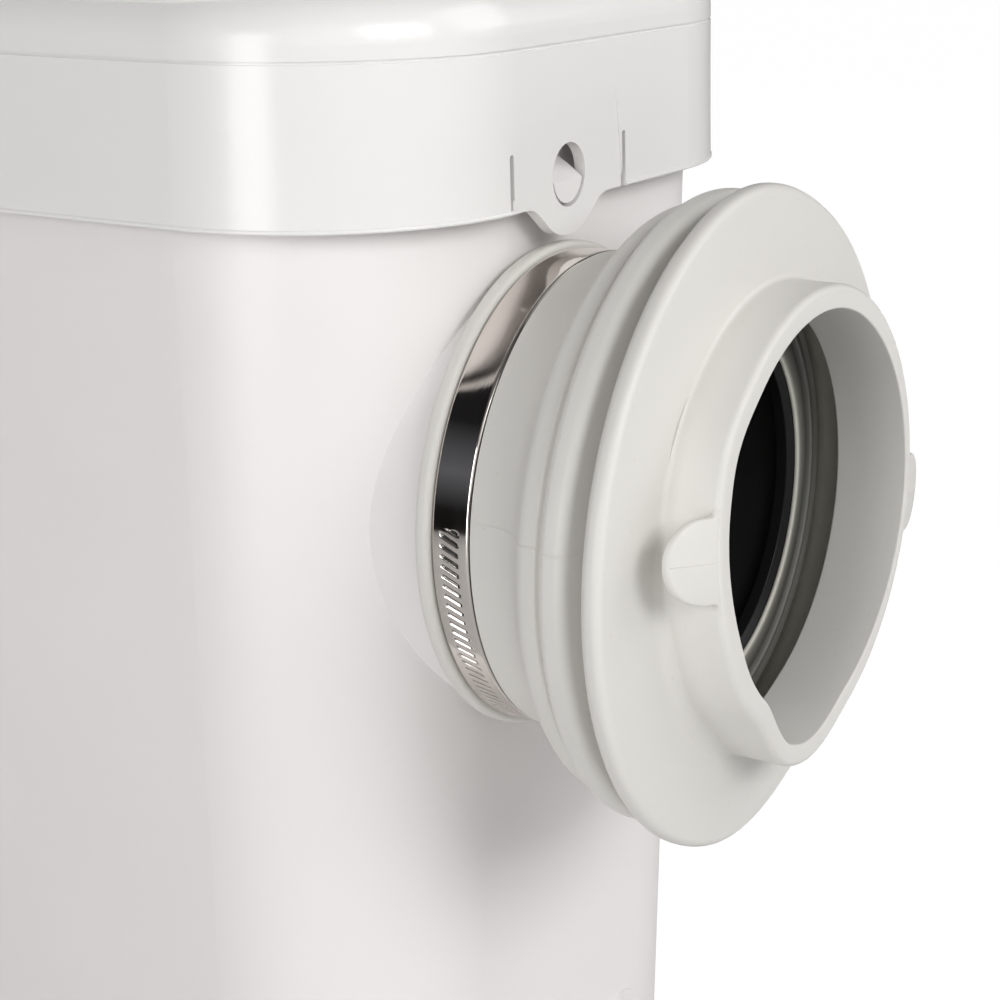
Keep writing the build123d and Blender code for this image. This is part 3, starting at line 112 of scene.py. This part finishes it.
def smooth(value):
    """A soft step from 0 to 1."""
    value = max(0.0, min(1.0, value))
    return value * value * (3 - 2 * value)


def bump_at(angle, middle, half_width):
    """One at an angle in degrees, falling smoothly to nothing at half_width away."""
    away = abs((angle - middle + 180) % 360 - 180) / half_width
    return 0.0 if away >= 1 else (math.cos(math.pi * away) + 1) / 2


def on_inlet(along, radius, angle):
    """A point in metres from its place along the inlet's axis, its radius and its angle."""
    return (
        axis_x + mm * radius * math.cos(math.radians(angle)),
        clamp_back_y - mm * along,
        axis_z + mm * radius * math.sin(math.radians(angle)),
    )


def join_loops(bm, loops, ends_meet):
    """Faces between closed loops of vertices that follow each other."""
    afters = loops[1:] + loops[:1] if ends_meet else loops[1:]
    for loop, after in zip(loops, afters):
        for index in range(len(loop)):
            following = (index + 1) % len(loop)
            bm.faces.new((loop[index], loop[following], after[following], after[index]))


def finished(piece, material, slot, *replaced):
    """Gives a piece its material and its place in the part."""
    piece.data.materials.append(material)
    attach(piece, "housing")
    if replaced:
        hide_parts(*replaced)


# Patches of colour and gloss: their scales, their detail and the noise values between which they blend
patch_scale = 12
gloss_scale = 36
patch_detail = 4
patch_low = 0.3
patch_high = 0.7

# Fine grain: its detail and its depth in metres
grain_detail = 2
grain_depth = 0.0002

# How soft the edge of a speck is, as a difference of noise values
speck_edge = 0.02

# Sockets of a colour mix: how much of the second colour, the first colour, the second and the result
mix_amount = 0
mix_first = 6
mix_second = 7
mix_result = 2


def shader_of(material):
    """The main shader node of a material."""
    return material.node_tree.nodes["Principled BSDF"]


def noise(tree, scale, detail, stretch=(1, 1, 1)):
    """A noise texture in the piece's own coordinates."""
    links = tree.links
    place = tree.nodes.new("ShaderNodeTexCoord")
    mapping = tree.nodes.new("ShaderNodeMapping")
    mapping.inputs["Scale"].default_value = stretch
    texture = tree.nodes.new("ShaderNodeTexNoise")
    texture.inputs["Scale"].default_value = scale
    texture.inputs["Detail"].default_value = detail
    links.new(place.outputs["Object"], mapping.inputs["Vector"])
    links.new(mapping.outputs["Vector"], texture.inputs["Vector"])
    return texture.outputs["Fac"]


def ramp(tree, value, stops):
    """Colours spread over a value, from stops that each hold a position from 0 to 1 and a colour."""
    spread = tree.nodes.new("ShaderNodeValToRGB")
    elements = spread.color_ramp.elements
    for index, (position, colour) in enumerate(stops):
        element = elements[index] if index < 2 else elements.new(position)
        element.position = position
        element.color = (*colour, 1)
    tree.links.new(value, spread.inputs["Fac"])
    return spread.outputs["Color"]


def surface(name, colour, other, roughness, metallic=0.0, grain=900, bump=0.03, stretch=(1, 1, 1)):
    """A material with slight patches of colour, uneven gloss and a fine grain."""
    material = bpy.data.materials.new(name)
    material.use_nodes = True
    tree = material.node_tree
    shader = shader_of(material)
    shader.inputs["Metallic"].default_value = metallic
    patches = noise(tree, patch_scale, patch_detail)
    tint = ramp(tree, patches, [(patch_low, colour), (patch_high, other)])
    tree.links.new(tint, shader.inputs["Base Color"])
    low, high = roughness
    patches = noise(tree, gloss_scale, patch_detail, stretch)
    gloss = ramp(tree, patches, [(patch_low, (low, low, low)), (patch_high, (high, high, high))])
    tree.links.new(gloss, shader.inputs["Roughness"])
    relief = tree.nodes.new("ShaderNodeBump")
    relief.inputs["Strength"].default_value = bump
    relief.inputs["Distance"].default_value = grain_depth
    tree.links.new(noise(tree, grain, grain_detail, stretch), relief.inputs["Height"])
    tree.links.new(relief.outputs["Normal"], shader.inputs["Normal"])
    return material


def speckled(material, speck, share, scale):
    """Adds small sparse specks of another colour to a material."""
    tree = material.node_tree
    shader = shader_of(material)
    before = shader.inputs["Base Color"].links[0].from_socket
    spots = noise(tree, scale, detail=1)
    amount = ramp(tree, spots, [(share, (0, 0, 0)), (share + speck_edge, (1, 1, 1))])
    mix = tree.nodes.new("ShaderNodeMix")
    mix.data_type = "RGBA"
    mix.inputs[mix_second].default_value = (*speck, 1)
    tree.links.new(amount, mix.inputs[mix_amount])
    tree.links.new(before, mix.inputs[mix_first])
    tree.links.new(mix.outputs[mix_result], shader.inputs["Base Color"])


white_gloss = surface(
    "lid_plastic", (0.80, 0.79, 0.775), (0.82, 0.81, 0.795), (0.20, 0.25), grain=500, bump=0.02
)
white_satin = surface(
    "tank_plastic", (0.805, 0.78, 0.772), (0.825, 0.80, 0.792), (0.33, 0.40), grain=800, bump=0.05
)
pale_rubber = surface(
    "sleeve_rubber", (0.69, 0.675, 0.640), (0.715, 0.70, 0.665), (0.44, 0.56), grain=1400, bump=0.10
)
speckled(pale_rubber, (0.66, 0.63, 0.58), share=0.76, scale=800)
black_rubber = surface(
    "black_rubber", (0.02, 0.02, 0.02), (0.035, 0.035, 0.035), (0.6, 0.75), grain=1200, bump=0.2
)
black_plastic = surface(
    "black_plastic", (0.012, 0.012, 0.012), (0.02, 0.02, 0.02), (0.28, 0.38), bump=0.05
)
grey_plastic = surface("grey_plastic", (0.42, 0.43, 0.44), (0.48, 0.49, 0.50), (0.38, 0.48), bump=0.08)
bright_steel = surface(
    "band_steel",
    (0.72, 0.67, 0.63),
    (0.76, 0.71, 0.67),
    (0.05, 0.10),
    metallic=1.0,
    grain=600,
    stretch=(1, 8, 1),
)
plain_steel = surface(
    "machined_steel", (0.46, 0.46, 0.46), (0.56, 0.56, 0.56), (0.25, 0.36), metallic=1.0, stretch=(8, 1, 8)
)
cast_metal = surface(
    "cast_aluminium", (0.60, 0.60, 0.61), (0.68, 0.68, 0.69), (0.42, 0.55), metallic=1.0, grain=700, bump=0.3
)
copper_wire = surface(
    "copper_wire", (0.52, 0.22, 0.09), (0.62, 0.30, 0.14), (0.28, 0.40), metallic=1.0, grain=1500, bump=0.5
)
filter_foam = surface(
    "filter_foam", (0.02, 0.02, 0.02), (0.06, 0.06, 0.06), (0.8, 0.95), grain=1800, bump=0.9
)

# Material of each slot of the record
by_slot = {
    "white_gloss": white_gloss,
    "white_satin": white_satin,
    "grey_plastic": grey_plastic,
    "dark_plastic": black_plastic,
    "pale_rubber": pale_rubber,
    "black_rubber": black_rubber,
    "polished_steel": bright_steel,
    "steel": plain_steel,
    "aluminium": cast_metal,
    "copper": copper_wire,
}
for part in frame["record"]["subparts"]:
    node = nodes[part["node"]]
    node.data.materials.clear()
    node.data.materials.append(by_slot[part["material_slot"]])
for name, material in (("strainer_basket", black_plastic), ("vent_filter", filter_foam)):
    nodes[name].data.materials.clear()
    nodes[name].data.materials.append(material)

# Rubber sleeve, turned from one outline of distances along its axis, radii and roundings in millimetres
collar_radius = 49.8
collar_bore = 44.8
collar_end = 61.4
collar_inner = 45.3
flange_rear = 43
flange_front = 49.85
outside_outline = [
    (-3.4, 48.25, 0),
    (-3.4, 53.5, 1.2),
    (-0.05, 53.5, 1.2),
    (-0.05, 51.3, 0),
    (9.3, 51.3, 0),
    (9.3, 52.1, 0),
    (19.0, 52.5, 13.6),
    (27.5, 63.9, 3.0),
    (31.25, 63.9, 0.6),
    (32.0, 62.4, 0.3),
    (34.0, 67.2, 2.1),
    (39.1, 67.2, 2.7),
    (41.6, 59.0, 1.2),
    (43.6, 59.0, 0),
    (44.6, 70.2, 1.7),
    (48.8, 70.2, 1.9),
    (flange_front, collar_radius, 1.2),
    (collar_end, collar_radius, 1.5),
]
inside_outline = [
    (collar_end, collar_bore, 0.4),
    (collar_inner, collar_bore, 0.5),
    (collar_inner, 57.6, 0),
    (33.0, 57.6, 0),
    (33.0, 56.0, 0),
    (30.0, 56.0, 0),
    (26.5, 56.0, 6.0),
    (18.0, 49.25, 6.0),
    (11.6, 48.25, 0),
]

# The sleeve's outside ends inside the collar's rounded end, this far out from the bore
outside_margin = 2.4

# Degrees between the columns of the sleeve, and of the plain rings
sleeve_step = 1.5
ring_step = 2.0

# Parting line of the mould: the angle of its left side, where it starts along the axis, its height
# in millimetres and its half width in degrees
seam_turn = 173.2
seam_start = 9.5
seam_rise = 0.15
seam_half_width = 0.3

# Wiping lips behind the collar, which seal on the end of the black inlet tube
lips_outline = [
    (37.55, 43.4, 0),
    (37.55, 39.6, 0.25),
    (38.6, 39.6, 0.6),
    (37.2, 46.8, 0.8),
    (38.2, 47.7, 0.4),
    (37.6, 49.6, 0.8),
    (38.6, 51.0, 0.8),
    (37.3, 52.4, 0.8),
    (36.6, 56.6, 2.0),
    (45.2, 57.2, 0),
    (45.2, 58.0, 0),
    (35.5, 58.0, 0),
    (35.5, 44.0, 0),
]

# Painted shade on the lips and in the band's grooves: a radius and the share of the colour that is left
# there
lip_painted_shade = [
    (39.8, 0.80),
    (40.4, 0.52),
    (41.8, 0.26),
    (46.4, 0.10),
    (47.2, 0.12),
    (47.8, 0.36),
    (49.0, 0.22),
    (51.0, 0.34),
    (53.0, 0.70),
]
groove_painted_shade = [
    (51.68, 0.16),
    (51.95, 0.45),
    (52.08, 1.0),
]

# Rounded rim in the mouth of the inlet tube
tube_rim_outline = [
    (37.56, 42.6, 0),
    (37.56, 39.7, 0.4),
    (36.5, 37.8, 0.3),
    (34.0, 37.8, 0),
    (34.0, 40.4, 0),
    (37.0, 40.4, 0),
    (37.0, 42.6, 0),
]

# The soft collar is pressed in at its lower left: how far in millimetres, and between which angles
dent_depth = 6.2
dent_forward = 1.2
dent_start = 148.0
dent_full = 205.0
dent_falls = 228.0
dent_end = 258.0

# How much of the press and the swelling reaches the root of the collar; its end has all of it
root_share = 0.5

# Where the rubber swells beside the dent: how far, at which angle and over what half width
swellings = [
    (0.8, 146, 16),
    (2.3, 269, 25),
]

# How far a point on the camera's line of sight moves up and to the left for each millimetre forward
sight_up = 0.56
sight_left = 1.6

# Millimetres by which a point lies past the collar's root, or past its outside and the flange's front
root_margin = 0.05
rim_margin = 0.7

# The collar's wall is thinner at its right side
thin_middle = 352.0
thin_half_width = 70.0
thinner_bore = 2.0

# The flange sits a little back and in on its right side
flange_back = 1.2
flange_in = 2.2
flange_turn = 108.0
flange_blend = 45.0
flange_reach = 20


def soft_collar(along, radius, angle):
    """The collar and its tabs give way where the rubber was pressed; the flange is left as it is."""
    on_flange = radius > collar_radius + rim_margin and along < flange_front + rim_margin
    if along < collar_inner - root_margin or on_flange:
        return along, radius
    press = smooth((angle - dent_start) / (dent_full - dent_start))
    press *= 1 - smooth((angle - dent_falls) / (dent_end - dent_falls))
    bulge = sum(rise * bump_at(angle, middle, half_width) for rise, middle, half_width in swellings)
    share = root_share + (1 - root_share) * (along - collar_inner) / (collar_end - collar_inner)
    outward = max(0.0, min(1.0, (radius - collar_bore) / (collar_radius - collar_bore)))
    bulge += thinner_bore * (1 - outward) * bump_at(angle, thin_middle, thin_half_width)
    forward = dent_forward * press
    turn = math.radians(angle)
    sight = forward * (sight_up * math.sin(turn) - sight_left * math.cos(turn))
    return along + forward * share, radius + (bulge - dent_depth * press + sight) * share


def sleeve_shape(along, radius, angle, outside):
    """The flange set back, the soft collar and, on the outside, the parting line at both sides."""
    if outside and along > flange_rear and radius > collar_radius + rim_margin:
        off = abs((angle + 180) % 360 - 180)
        press = smooth((flange_turn - off) / flange_blend) * (radius - collar_radius) / flange_reach
        return along - flange_back * press, radius - flange_in * press
    along, radius = soft_collar(along, radius, angle)
    if outside and along > seam_start:
        off = abs((angle - seam_turn + 90) % 180 - 90)
        radius += seam_rise * max(0.0, 1 - off / seam_half_width)
    return along, radius


def sleeve_mesh():
    """The outline turned about the inlet's axis, with close columns at the parting line."""
    bm = bmesh.new()
    outline = rounded(outside_outline + inside_outline)
    end_of_outside = 0
    for index, (along, radius) in enumerate(outline):
        if along > flange_front and radius > collar_bore + outside_margin:
            end_of_outside = index
    angles = [sleeve_step * step for step in range(round(360 / sleeve_step))]
    for side in (seam_turn, seam_turn + 180):
        angles += [side + seam_half_width * step for step in (-1, -0.5, 0, 0.5, 1)]
    rings = []
    for angle in sorted(angles):
        ring = []
        for index, (along, radius) in enumerate(outline):
            shaped = sleeve_shape(along, radius, angle, index <= end_of_outside)
            ring.append(bm.verts.new(on_inlet(*shaped, angle)))
        rings.append(ring)
    join_loops(bm, rings, ends_meet=True)
    return mesh_from("sleeve", bm)


def turned(name, outline):
    """A plain ring turned about the inlet's axis."""
    bm = bmesh.new()
    outline = rounded(outline)
    rings = []
    for step in range(round(360 / ring_step)):
        angle = ring_step * step
        rings.append([bm.verts.new(on_inlet(along, radius, angle)) for along, radius in outline])
    join_loops(bm, rings, ends_meet=True)
    return mesh_from(name, bm)


def painted_shade_by_radius(material, greys, warmth):
    """Paints shade into a material by the distance from the inlet's axis; warmth is the share of blue left
    in it.
    """
    tree = material.node_tree
    shader = shader_of(material)
    before = shader.inputs["Base Color"].links[0].from_socket
    place = tree.nodes.new("ShaderNodeTexCoord")
    offset = tree.nodes.new("ShaderNodeVectorMath")
    offset.operation = "SUBTRACT"
    offset.inputs[1].default_value = (axis_x, 0, axis_z)
    flat = tree.nodes.new("ShaderNodeVectorMath")
    flat.operation = "MULTIPLY"
    flat.inputs[1].default_value = (1, 0, 1)
    radius = tree.nodes.new("ShaderNodeVectorMath")
    radius.operation = "LENGTH"
    spread = tree.nodes.new("ShaderNodeMapRange")
    first = greys[0][0]
    last = greys[-1][0]
    spread.inputs["From Min"].default_value = mm * first
    spread.inputs["From Max"].default_value = mm * last
    stops = [((out - first) / (last - first), (grey, grey, warmth * grey)) for out, grey in greys]
    shades = ramp(tree, spread.outputs["Result"], stops)
    mix = tree.nodes.new("ShaderNodeMix")
    mix.data_type = "RGBA"
    mix.blend_type = "MULTIPLY"
    mix.inputs[mix_amount].default_value = 1.0
    tree.links.new(place.outputs["Object"], offset.inputs[0])
    tree.links.new(offset.outputs["Vector"], flat.inputs[0])
    tree.links.new(flat.outputs["Vector"], radius.inputs[0])
    tree.links.new(radius.outputs["Value"], spread.inputs["Value"])
    tree.links.new(before, mix.inputs[mix_first])
    tree.links.new(shades, mix.inputs[mix_second])
    tree.links.new(mix.outputs[mix_result], shader.inputs["Base Color"])
    return material


finished(sleeve_mesh(), pale_rubber, "pale_rubber", "inlet_sleeve")
lip_rubber_painted_shade = surface(
    "lip_rubber_painted_shade", (0.66, 0.65, 0.61), (0.70, 0.69, 0.65), (0.55, 0.68), grain=1400, bump=0.10
)
# Painted shade: the lips darken with their distance from the axis, deepest in the mouth's hollow
lip_rubber_painted_shade = painted_shade_by_radius(lip_rubber_painted_shade, lip_painted_shade, warmth=0.94)
finished(turned("sleeve_lips", lips_outline), lip_rubber_painted_shade, "pale_rubber")
rim_plastic = surface("rim_plastic", (0.008, 0.008, 0.008), (0.012, 0.012, 0.012), (0.30, 0.40), bump=0.05)
shader_of(rim_plastic).inputs["Specular IOR Level"].default_value = 0.15
finished(turned("tube_rim", tube_rim_outline), rim_plastic, "dark_plastic")

# Pull tabs of the sleeve: half-round, close behind the mouth's edge at their root and leaning back
ear_middle = 51.7
ear_radius = 8.8
ear_root = ear_middle - 1.4
ear_root_round = 1.5
ear_thickness = 1.7
ear_edge = 0.5
ear_edge_middle = 0.3 * ear_edge
ear_behind = 0.3
ear_lean_right = 0.20
ear_lean_left = 0.39
ear_flush = 49.3
ear_buried = 46.5
ear_turn = -6.5
ear_arc_steps = 16
ear_root_steps = 4

# Half the gap between the two halves of a tab's mesh
ear_half_gap = 0.01

# Parting line across a tab's face: where it starts, its length, its half width and how deep its edges lie
ridge_start = ear_middle - 1.5
ridge_length = ear_radius + 1.2
ridge_half_width = 0.2
ridge_sunk = 0.05
ridge_steps = 11


def ear(name, turn, lean):
    """A round flat tab that grows out of the collar."""
    bm = bmesh.new()

    def ear_front(out):
        """Where the tab's front face lies along the inlet's axis, at a distance out from the axis."""
        return collar_end - ear_behind - lean * max(0.0, out - ear_flush)

    def vertex(along, out, across):
        """A point of the tab from its places along, out from and across the axis, moved with the collar."""
        angle = turn + math.degrees(math.atan2(across, out))
        along, radius = soft_collar(along, math.hypot(out, across), angle % 360)
        return bm.verts.new(on_inlet(along, radius, angle))

    side = []
    for step in range(ear_arc_steps + 1):
        turned_by = math.radians(90 - 90 * step / ear_arc_steps)
        out_way = math.sin(turned_by)
        across_way = math.cos(turned_by)
        side.append((ear_middle + ear_radius * out_way, ear_radius * across_way, out_way, across_way))
    wide = ear_radius + ear_root_round
    for step in range(ear_root_steps + 1):
        turned_by = math.radians(90 * step / ear_root_steps)
        out_way = math.sin(turned_by)
        across_way = math.cos(turned_by)
        out = ear_root - ear_root_round * out_way
        side.append((out, wide - ear_root_round * across_way, out_way, across_way))
    side.append((ear_buried, wide, 0, 0))
    layers = []
    for back, inset in (
        (0, ear_edge),
        (ear_edge_middle, ear_edge_middle),
        (ear_edge, 0),
        (ear_thickness - ear_edge, 0),
        (ear_thickness - ear_edge_middle, ear_edge_middle),
        (ear_thickness, ear_edge),
    ):
        left = []
        right = []
        for out, across, out_way, across_way in side:
            place = out - inset * out_way
            reach = across - inset * across_way
            left.append(vertex(ear_front(place) - back, place, max(reach, ear_half_gap)))
            right.append(vertex(ear_front(place) - back, place, min(-reach, -ear_half_gap)))
        layers.append((left, right))
    join_loops(bm, [left[::-1] + right for left, right in layers], ends_meet=False)
    for left, right in (layers[0], layers[-1]):
        for index in range(len(left) - 1):
            bm.faces.new((left[index], left[index + 1], right[index + 1], right[index]))
    ridge_outline = [(-ridge_half_width, -ridge_sunk), (0, seam_rise), (ridge_half_width, -ridge_sunk)]
    ridge = []
    for step in range(ridge_steps + 1):
        out = ridge_start + ridge_length * step / ridge_steps
        ridge.append([vertex(ear_front(out) + rise, out, across) for across, rise in ridge_outline])
    for row, row_after in zip(ridge, ridge[1:]):
        for index in range(len(row) - 1):
            bm.faces.new((row[index], row[index + 1], row_after[index + 1], row_after[index]))
    finished(mesh_from(name, bm), pale_rubber, "pale_rubber")


ear("sleeve_tab_right", ear_turn, ear_lean_right)
ear("sleeve_tab_left", ear_turn + 180, ear_lean_left)

# Clamp band with its rolled edges and the slanted grooves that its worm runs in
band_inside = 51.35
band_thickness = 0.8
edge_width = 0.6
edge_drop = 0.4
across_steps = 36
plain_step = 1.0
grooved_step = 0.15
grooves_start = 175.5
grooves_end = 266.0
groove_pitch = 2.2
groove_width = 1.25
groove_half_length = 2.25
groove_middle = -0.15
groove_slant = -0.45
groove_depth = 0.38
groove_flank = 0.5
groove_end = 0.6


def groove_mask(angle, across):
    """How deep a point of the band lies in a slanted groove, from 0 to 1."""
    end = (groove_half_length - abs(across - groove_middle)) / groove_end
    if not grooves_start < angle < grooves_end or end <= 0:
        return 0.0
    arc = math.radians(angle - grooves_start) * (band_inside + band_thickness) + groove_slant * across
    off = abs((arc + groove_pitch / 2) % groove_pitch - groove_pitch / 2)
    side = (groove_width / 2 - off) / (groove_flank * groove_width)
    return smooth(side) * smooth(end)


def clamp_ring():
    """The band: a fine grid outside, with the grooves sunk into it, and a plain inside."""
    bm = bmesh.new()
    width = band_width / mm
    columns = []
    angle = 0.0
    while angle < 360 - 1e-6:
        outer = []
        for step in range(across_steps + 1):
            across = width * (step / across_steps - 0.5)
            edge = max(0.0, 1 - (width / 2 - abs(across)) / edge_width)
            radius = band_inside + band_thickness - edge_drop * edge**2
            radius -= groove_depth * groove_mask(angle, across)
            outer.append((across, radius))
        column = []
        for across, radius in outer + [(width / 2, band_inside), (-width / 2, band_inside)]:
            column.append(bm.verts.new(on_inlet(width / 2 + across, radius, angle)))
        columns.append(column)
        grooved = grooves_start - plain_step < angle < grooves_end + plain_step
        angle += grooved_step if grooved else plain_step
    join_loops(bm, columns, ends_meet=True)
    return mesh_from("clamp_ring", bm, smooth_angle=60)


# Painted shade: the steel darkens at the bottoms of the grooves and on the rolled edges
grooved_steel_painted_shade = painted_shade_by_radius(bright_steel.copy(), groove_painted_shade, warmth=1.0)
grooved_steel_painted_shade.name = "grooved_steel_painted_shade"
finished(clamp_ring(), grooved_steel_painted_shade, "polished_steel", "clamp_band")

# Thin round bead along the lower edge of the lid's skirt, on both sides of the snap tabs
lid_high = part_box("lid")[1]
skirt_half_length = 165.0
skirt_corner = 49.2
tab_gap = 24.1
corner_steps = 12
bead_z = 243.25
bead_radius = 0.5
bead_sunk = 0.35
bead_sweep = 110
bead_steps = 8


def lid_bead(name, side):
    """Half of the bead, from the front tab round one side of the lid to the back tab."""
    corner_x = lid_high.x / mm - skirt_corner
    corner_y = skirt_half_length - skirt_corner
    start_x = axis_x / mm + side * tab_gap
    path = [(start_x, -skirt_half_length, 0, -1)]
    for quarter, first_way in ((-1, -90), (1, 0)):
        for step in range(corner_steps + 1):
            way = math.radians(first_way + 90 * step / corner_steps)
            out_x = side * math.cos(way)
            out_y = math.sin(way)
            x = side * corner_x + skirt_corner * out_x
            y = quarter * corner_y + skirt_corner * out_y
            path.append((x, y, out_x, out_y))
    path.append((start_x, skirt_half_length, 0, 1))
    bm = bmesh.new()
    rows = []
    for x, y, out_x, out_y in path:
        row = []
        for step in range(bead_steps + 1):
            way = math.radians(-bead_sweep + 2 * bead_sweep * step / bead_steps)
            out = bead_radius * (math.cos(way) - bead_sunk)
            z = bead_z + bead_radius * math.sin(way)
            row.append(bm.verts.new((mm * (x + out * out_x), mm * (y + out * out_y), mm * z)))
        rows.append(row)
    join_loops(bm, rows, ends_meet=False)
    bm.faces.new(rows[0])
    bm.faces.new(rows[-1])
    finished(mesh_from(name, bm, smooth_angle=60), white_gloss, "white_gloss")


lid_bead("lid_bead_left", -1)
lid_bead("lid_bead_right", 1)

# Camera
yaw = math.radians(camera_yaw)
pitch = math.radians(camera_pitch)
roll = math.radians(camera_roll)
forward = Vector((math.sin(yaw) * math.cos(pitch), math.cos(yaw) * math.cos(pitch), -math.sin(pitch)))
level = Vector((math.cos(yaw), -math.sin(yaw), 0))
raised = level.cross(forward)
right = level * math.cos(roll) - raised * math.sin(roll)
up = right.cross(forward)
camera = bpy.data.objects.new("camera", bpy.data.cameras.new("camera"))
camera.data.lens = camera_lens
camera.data.sensor_width = 36
camera.data.clip_start = 0.01
camera.matrix_world = Matrix.Translation(camera_place) @ Matrix((right, up, -forward)).transposed().to_4x4()
bpy.context.scene.collection.objects.link(camera)
bpy.context.scene.camera = camera


def area_light(name, place, target, size, power, height=None):
    """A soft light that points at a target: a square, or a rectangle where it has a height."""
    light = bpy.data.lights.new(name, "AREA")
    light.size = size
    if height:
        light.shape = "RECTANGLE"
        light.size_y = height
    light.energy = power
    lamp = bpy.data.objects.new(name, light)
    lamp.location = place
    lamp.rotation_euler = (Vector(target) - Vector(place)).to_track_quat("-Z", "Y").to_euler()
    bpy.context.scene.collection.objects.link(lamp)


look_at = (axis_x, clamp_back_y, axis_z)
area_light("key", (-0.316, -1.28, 0.74), look_at, size=0.7, power=7.8, height=0.55)
area_light("left_strip", (-0.90, -0.18, 0.24), (-0.084, -0.13, 0.24), size=0.30, power=3.8, height=0.8)
area_light("left", (-1.0, -0.95, 0.72), look_at, size=0.9, power=2.2)
area_light("right", (0.82, -1.16, 0.93), look_at, size=1.0, power=7.6)
area_light("back", (0.80, 1.25, 0.22), (0, 0.10, 0.15), size=1.0, power=10.0, height=0.4)

# Sky: white where the camera sees it, softer as a light
sky_light = 0.14
world = bpy.data.worlds.new("sky")
bpy.context.scene.world = world
world.use_nodes = True
sky = world.node_tree
background = sky.nodes["Background"]
seen = sky.nodes.new("ShaderNodeLightPath")
strength = sky.nodes.new("ShaderNodeMapRange")
strength.inputs["To Min"].default_value = sky_light
strength.inputs["To Max"].default_value = 1.0
sky.links.new(seen.outputs["Is Camera Ray"], strength.inputs["Value"])
sky.links.new(strength.outputs["Result"], background.inputs["Strength"])
background.inputs["Color"].default_value = (1, 1, 1, 1)


def plane(name, corners, material):
    """A flat sheet of the stage."""
    bm = bmesh.new()
    bm.faces.new([bm.verts.new(corner) for corner in corners])
    sheet = mesh_from(name, bm)
    sheet.data.materials.append(material)
    return sheet


# Floor: its half width in metres, its glow and how much of what the camera sees is glow
floor_half = 6.0
floor_glow = 1.07
floor_glow_share = 0.92


def floor_material():
    """Pale floor that the camera sees as nearly white, with soft shadows left on it."""
    material = surface("floor", (0.74, 0.74, 0.74), (0.76, 0.76, 0.76), (0.7, 0.8), bump=0.0)
    tree = material.node_tree
    shader = shader_of(material)
    output = tree.nodes["Material Output"]
    glow = tree.nodes.new("ShaderNodeEmission")
    glow.inputs["Strength"].default_value = floor_glow
    seen_by = tree.nodes.new("ShaderNodeLightPath")
    share = tree.nodes.new("ShaderNodeMapRange")
    share.inputs["To Max"].default_value = floor_glow_share
    blend = tree.nodes.new("ShaderNodeMixShader")
    tree.links.new(seen_by.outputs["Is Camera Ray"], share.inputs["Value"])
    tree.links.new(share.outputs["Result"], blend.inputs["Fac"])
    tree.links.new(shader.outputs["BSDF"], blend.inputs[1])
    tree.links.new(glow.outputs["Emission"], blend.inputs[2])
    tree.links.new(blend.outputs["Shader"], output.inputs["Surface"])
    return material


floor_corners = ((-1, -1), (1, -1), (1, 1), (-1, 1))
plane("floor", [(floor_half * x, floor_half * y, 0) for x, y in floor_corners], floor_material())

# Card that the clamp band mirrors: its lower and upper edge, the places of its two sides, and its glow
# at shares of its height. The glow is a painted reflection for the band, not a lamp.
card_low = 0.10
card_high = 0.72
card_near = (-0.485, -0.005)
card_far = (-0.271, 0.233)
card_painted_reflection = [
    (0.12, (0.0, 0.0, 0.0)),
    (0.32, (0.11, 0.115, 0.13)),
    (0.62, (0.005, 0.005, 0.006)),
]


def card_material():
    """Black card whose middle glows dull grey, a painted reflection for the clamp band."""
    material = surface("card", (0.003, 0.003, 0.003), (0.006, 0.006, 0.006), (0.6, 0.7), bump=0.0)
    tree = material.node_tree
    shader = shader_of(material)
    shader.inputs["Specular IOR Level"].default_value = 0.1
    place = tree.nodes.new("ShaderNodeTexCoord")
    split = tree.nodes.new("ShaderNodeSeparateXYZ")
    height = tree.nodes.new("ShaderNodeMapRange")
    height.inputs["From Min"].default_value = card_low
    height.inputs["From Max"].default_value = card_high
    glow = ramp(tree, height.outputs["Result"], card_painted_reflection)
    tree.links.new(place.outputs["Object"], split.inputs["Vector"])
    tree.links.new(split.outputs["Z"], height.inputs["Value"])
    tree.links.new(glow, shader.inputs["Emission Color"])
    shader.inputs["Emission Strength"].default_value = 1.0
    return material


card = plane(
    "card",
    [(*card_near, card_low), (*card_far, card_low), (*card_far, card_high), (*card_near, card_high)],
    card_material(),
)
card.visible_camera = False

bpy.context.scene.view_settings.view_transform = "Standard"
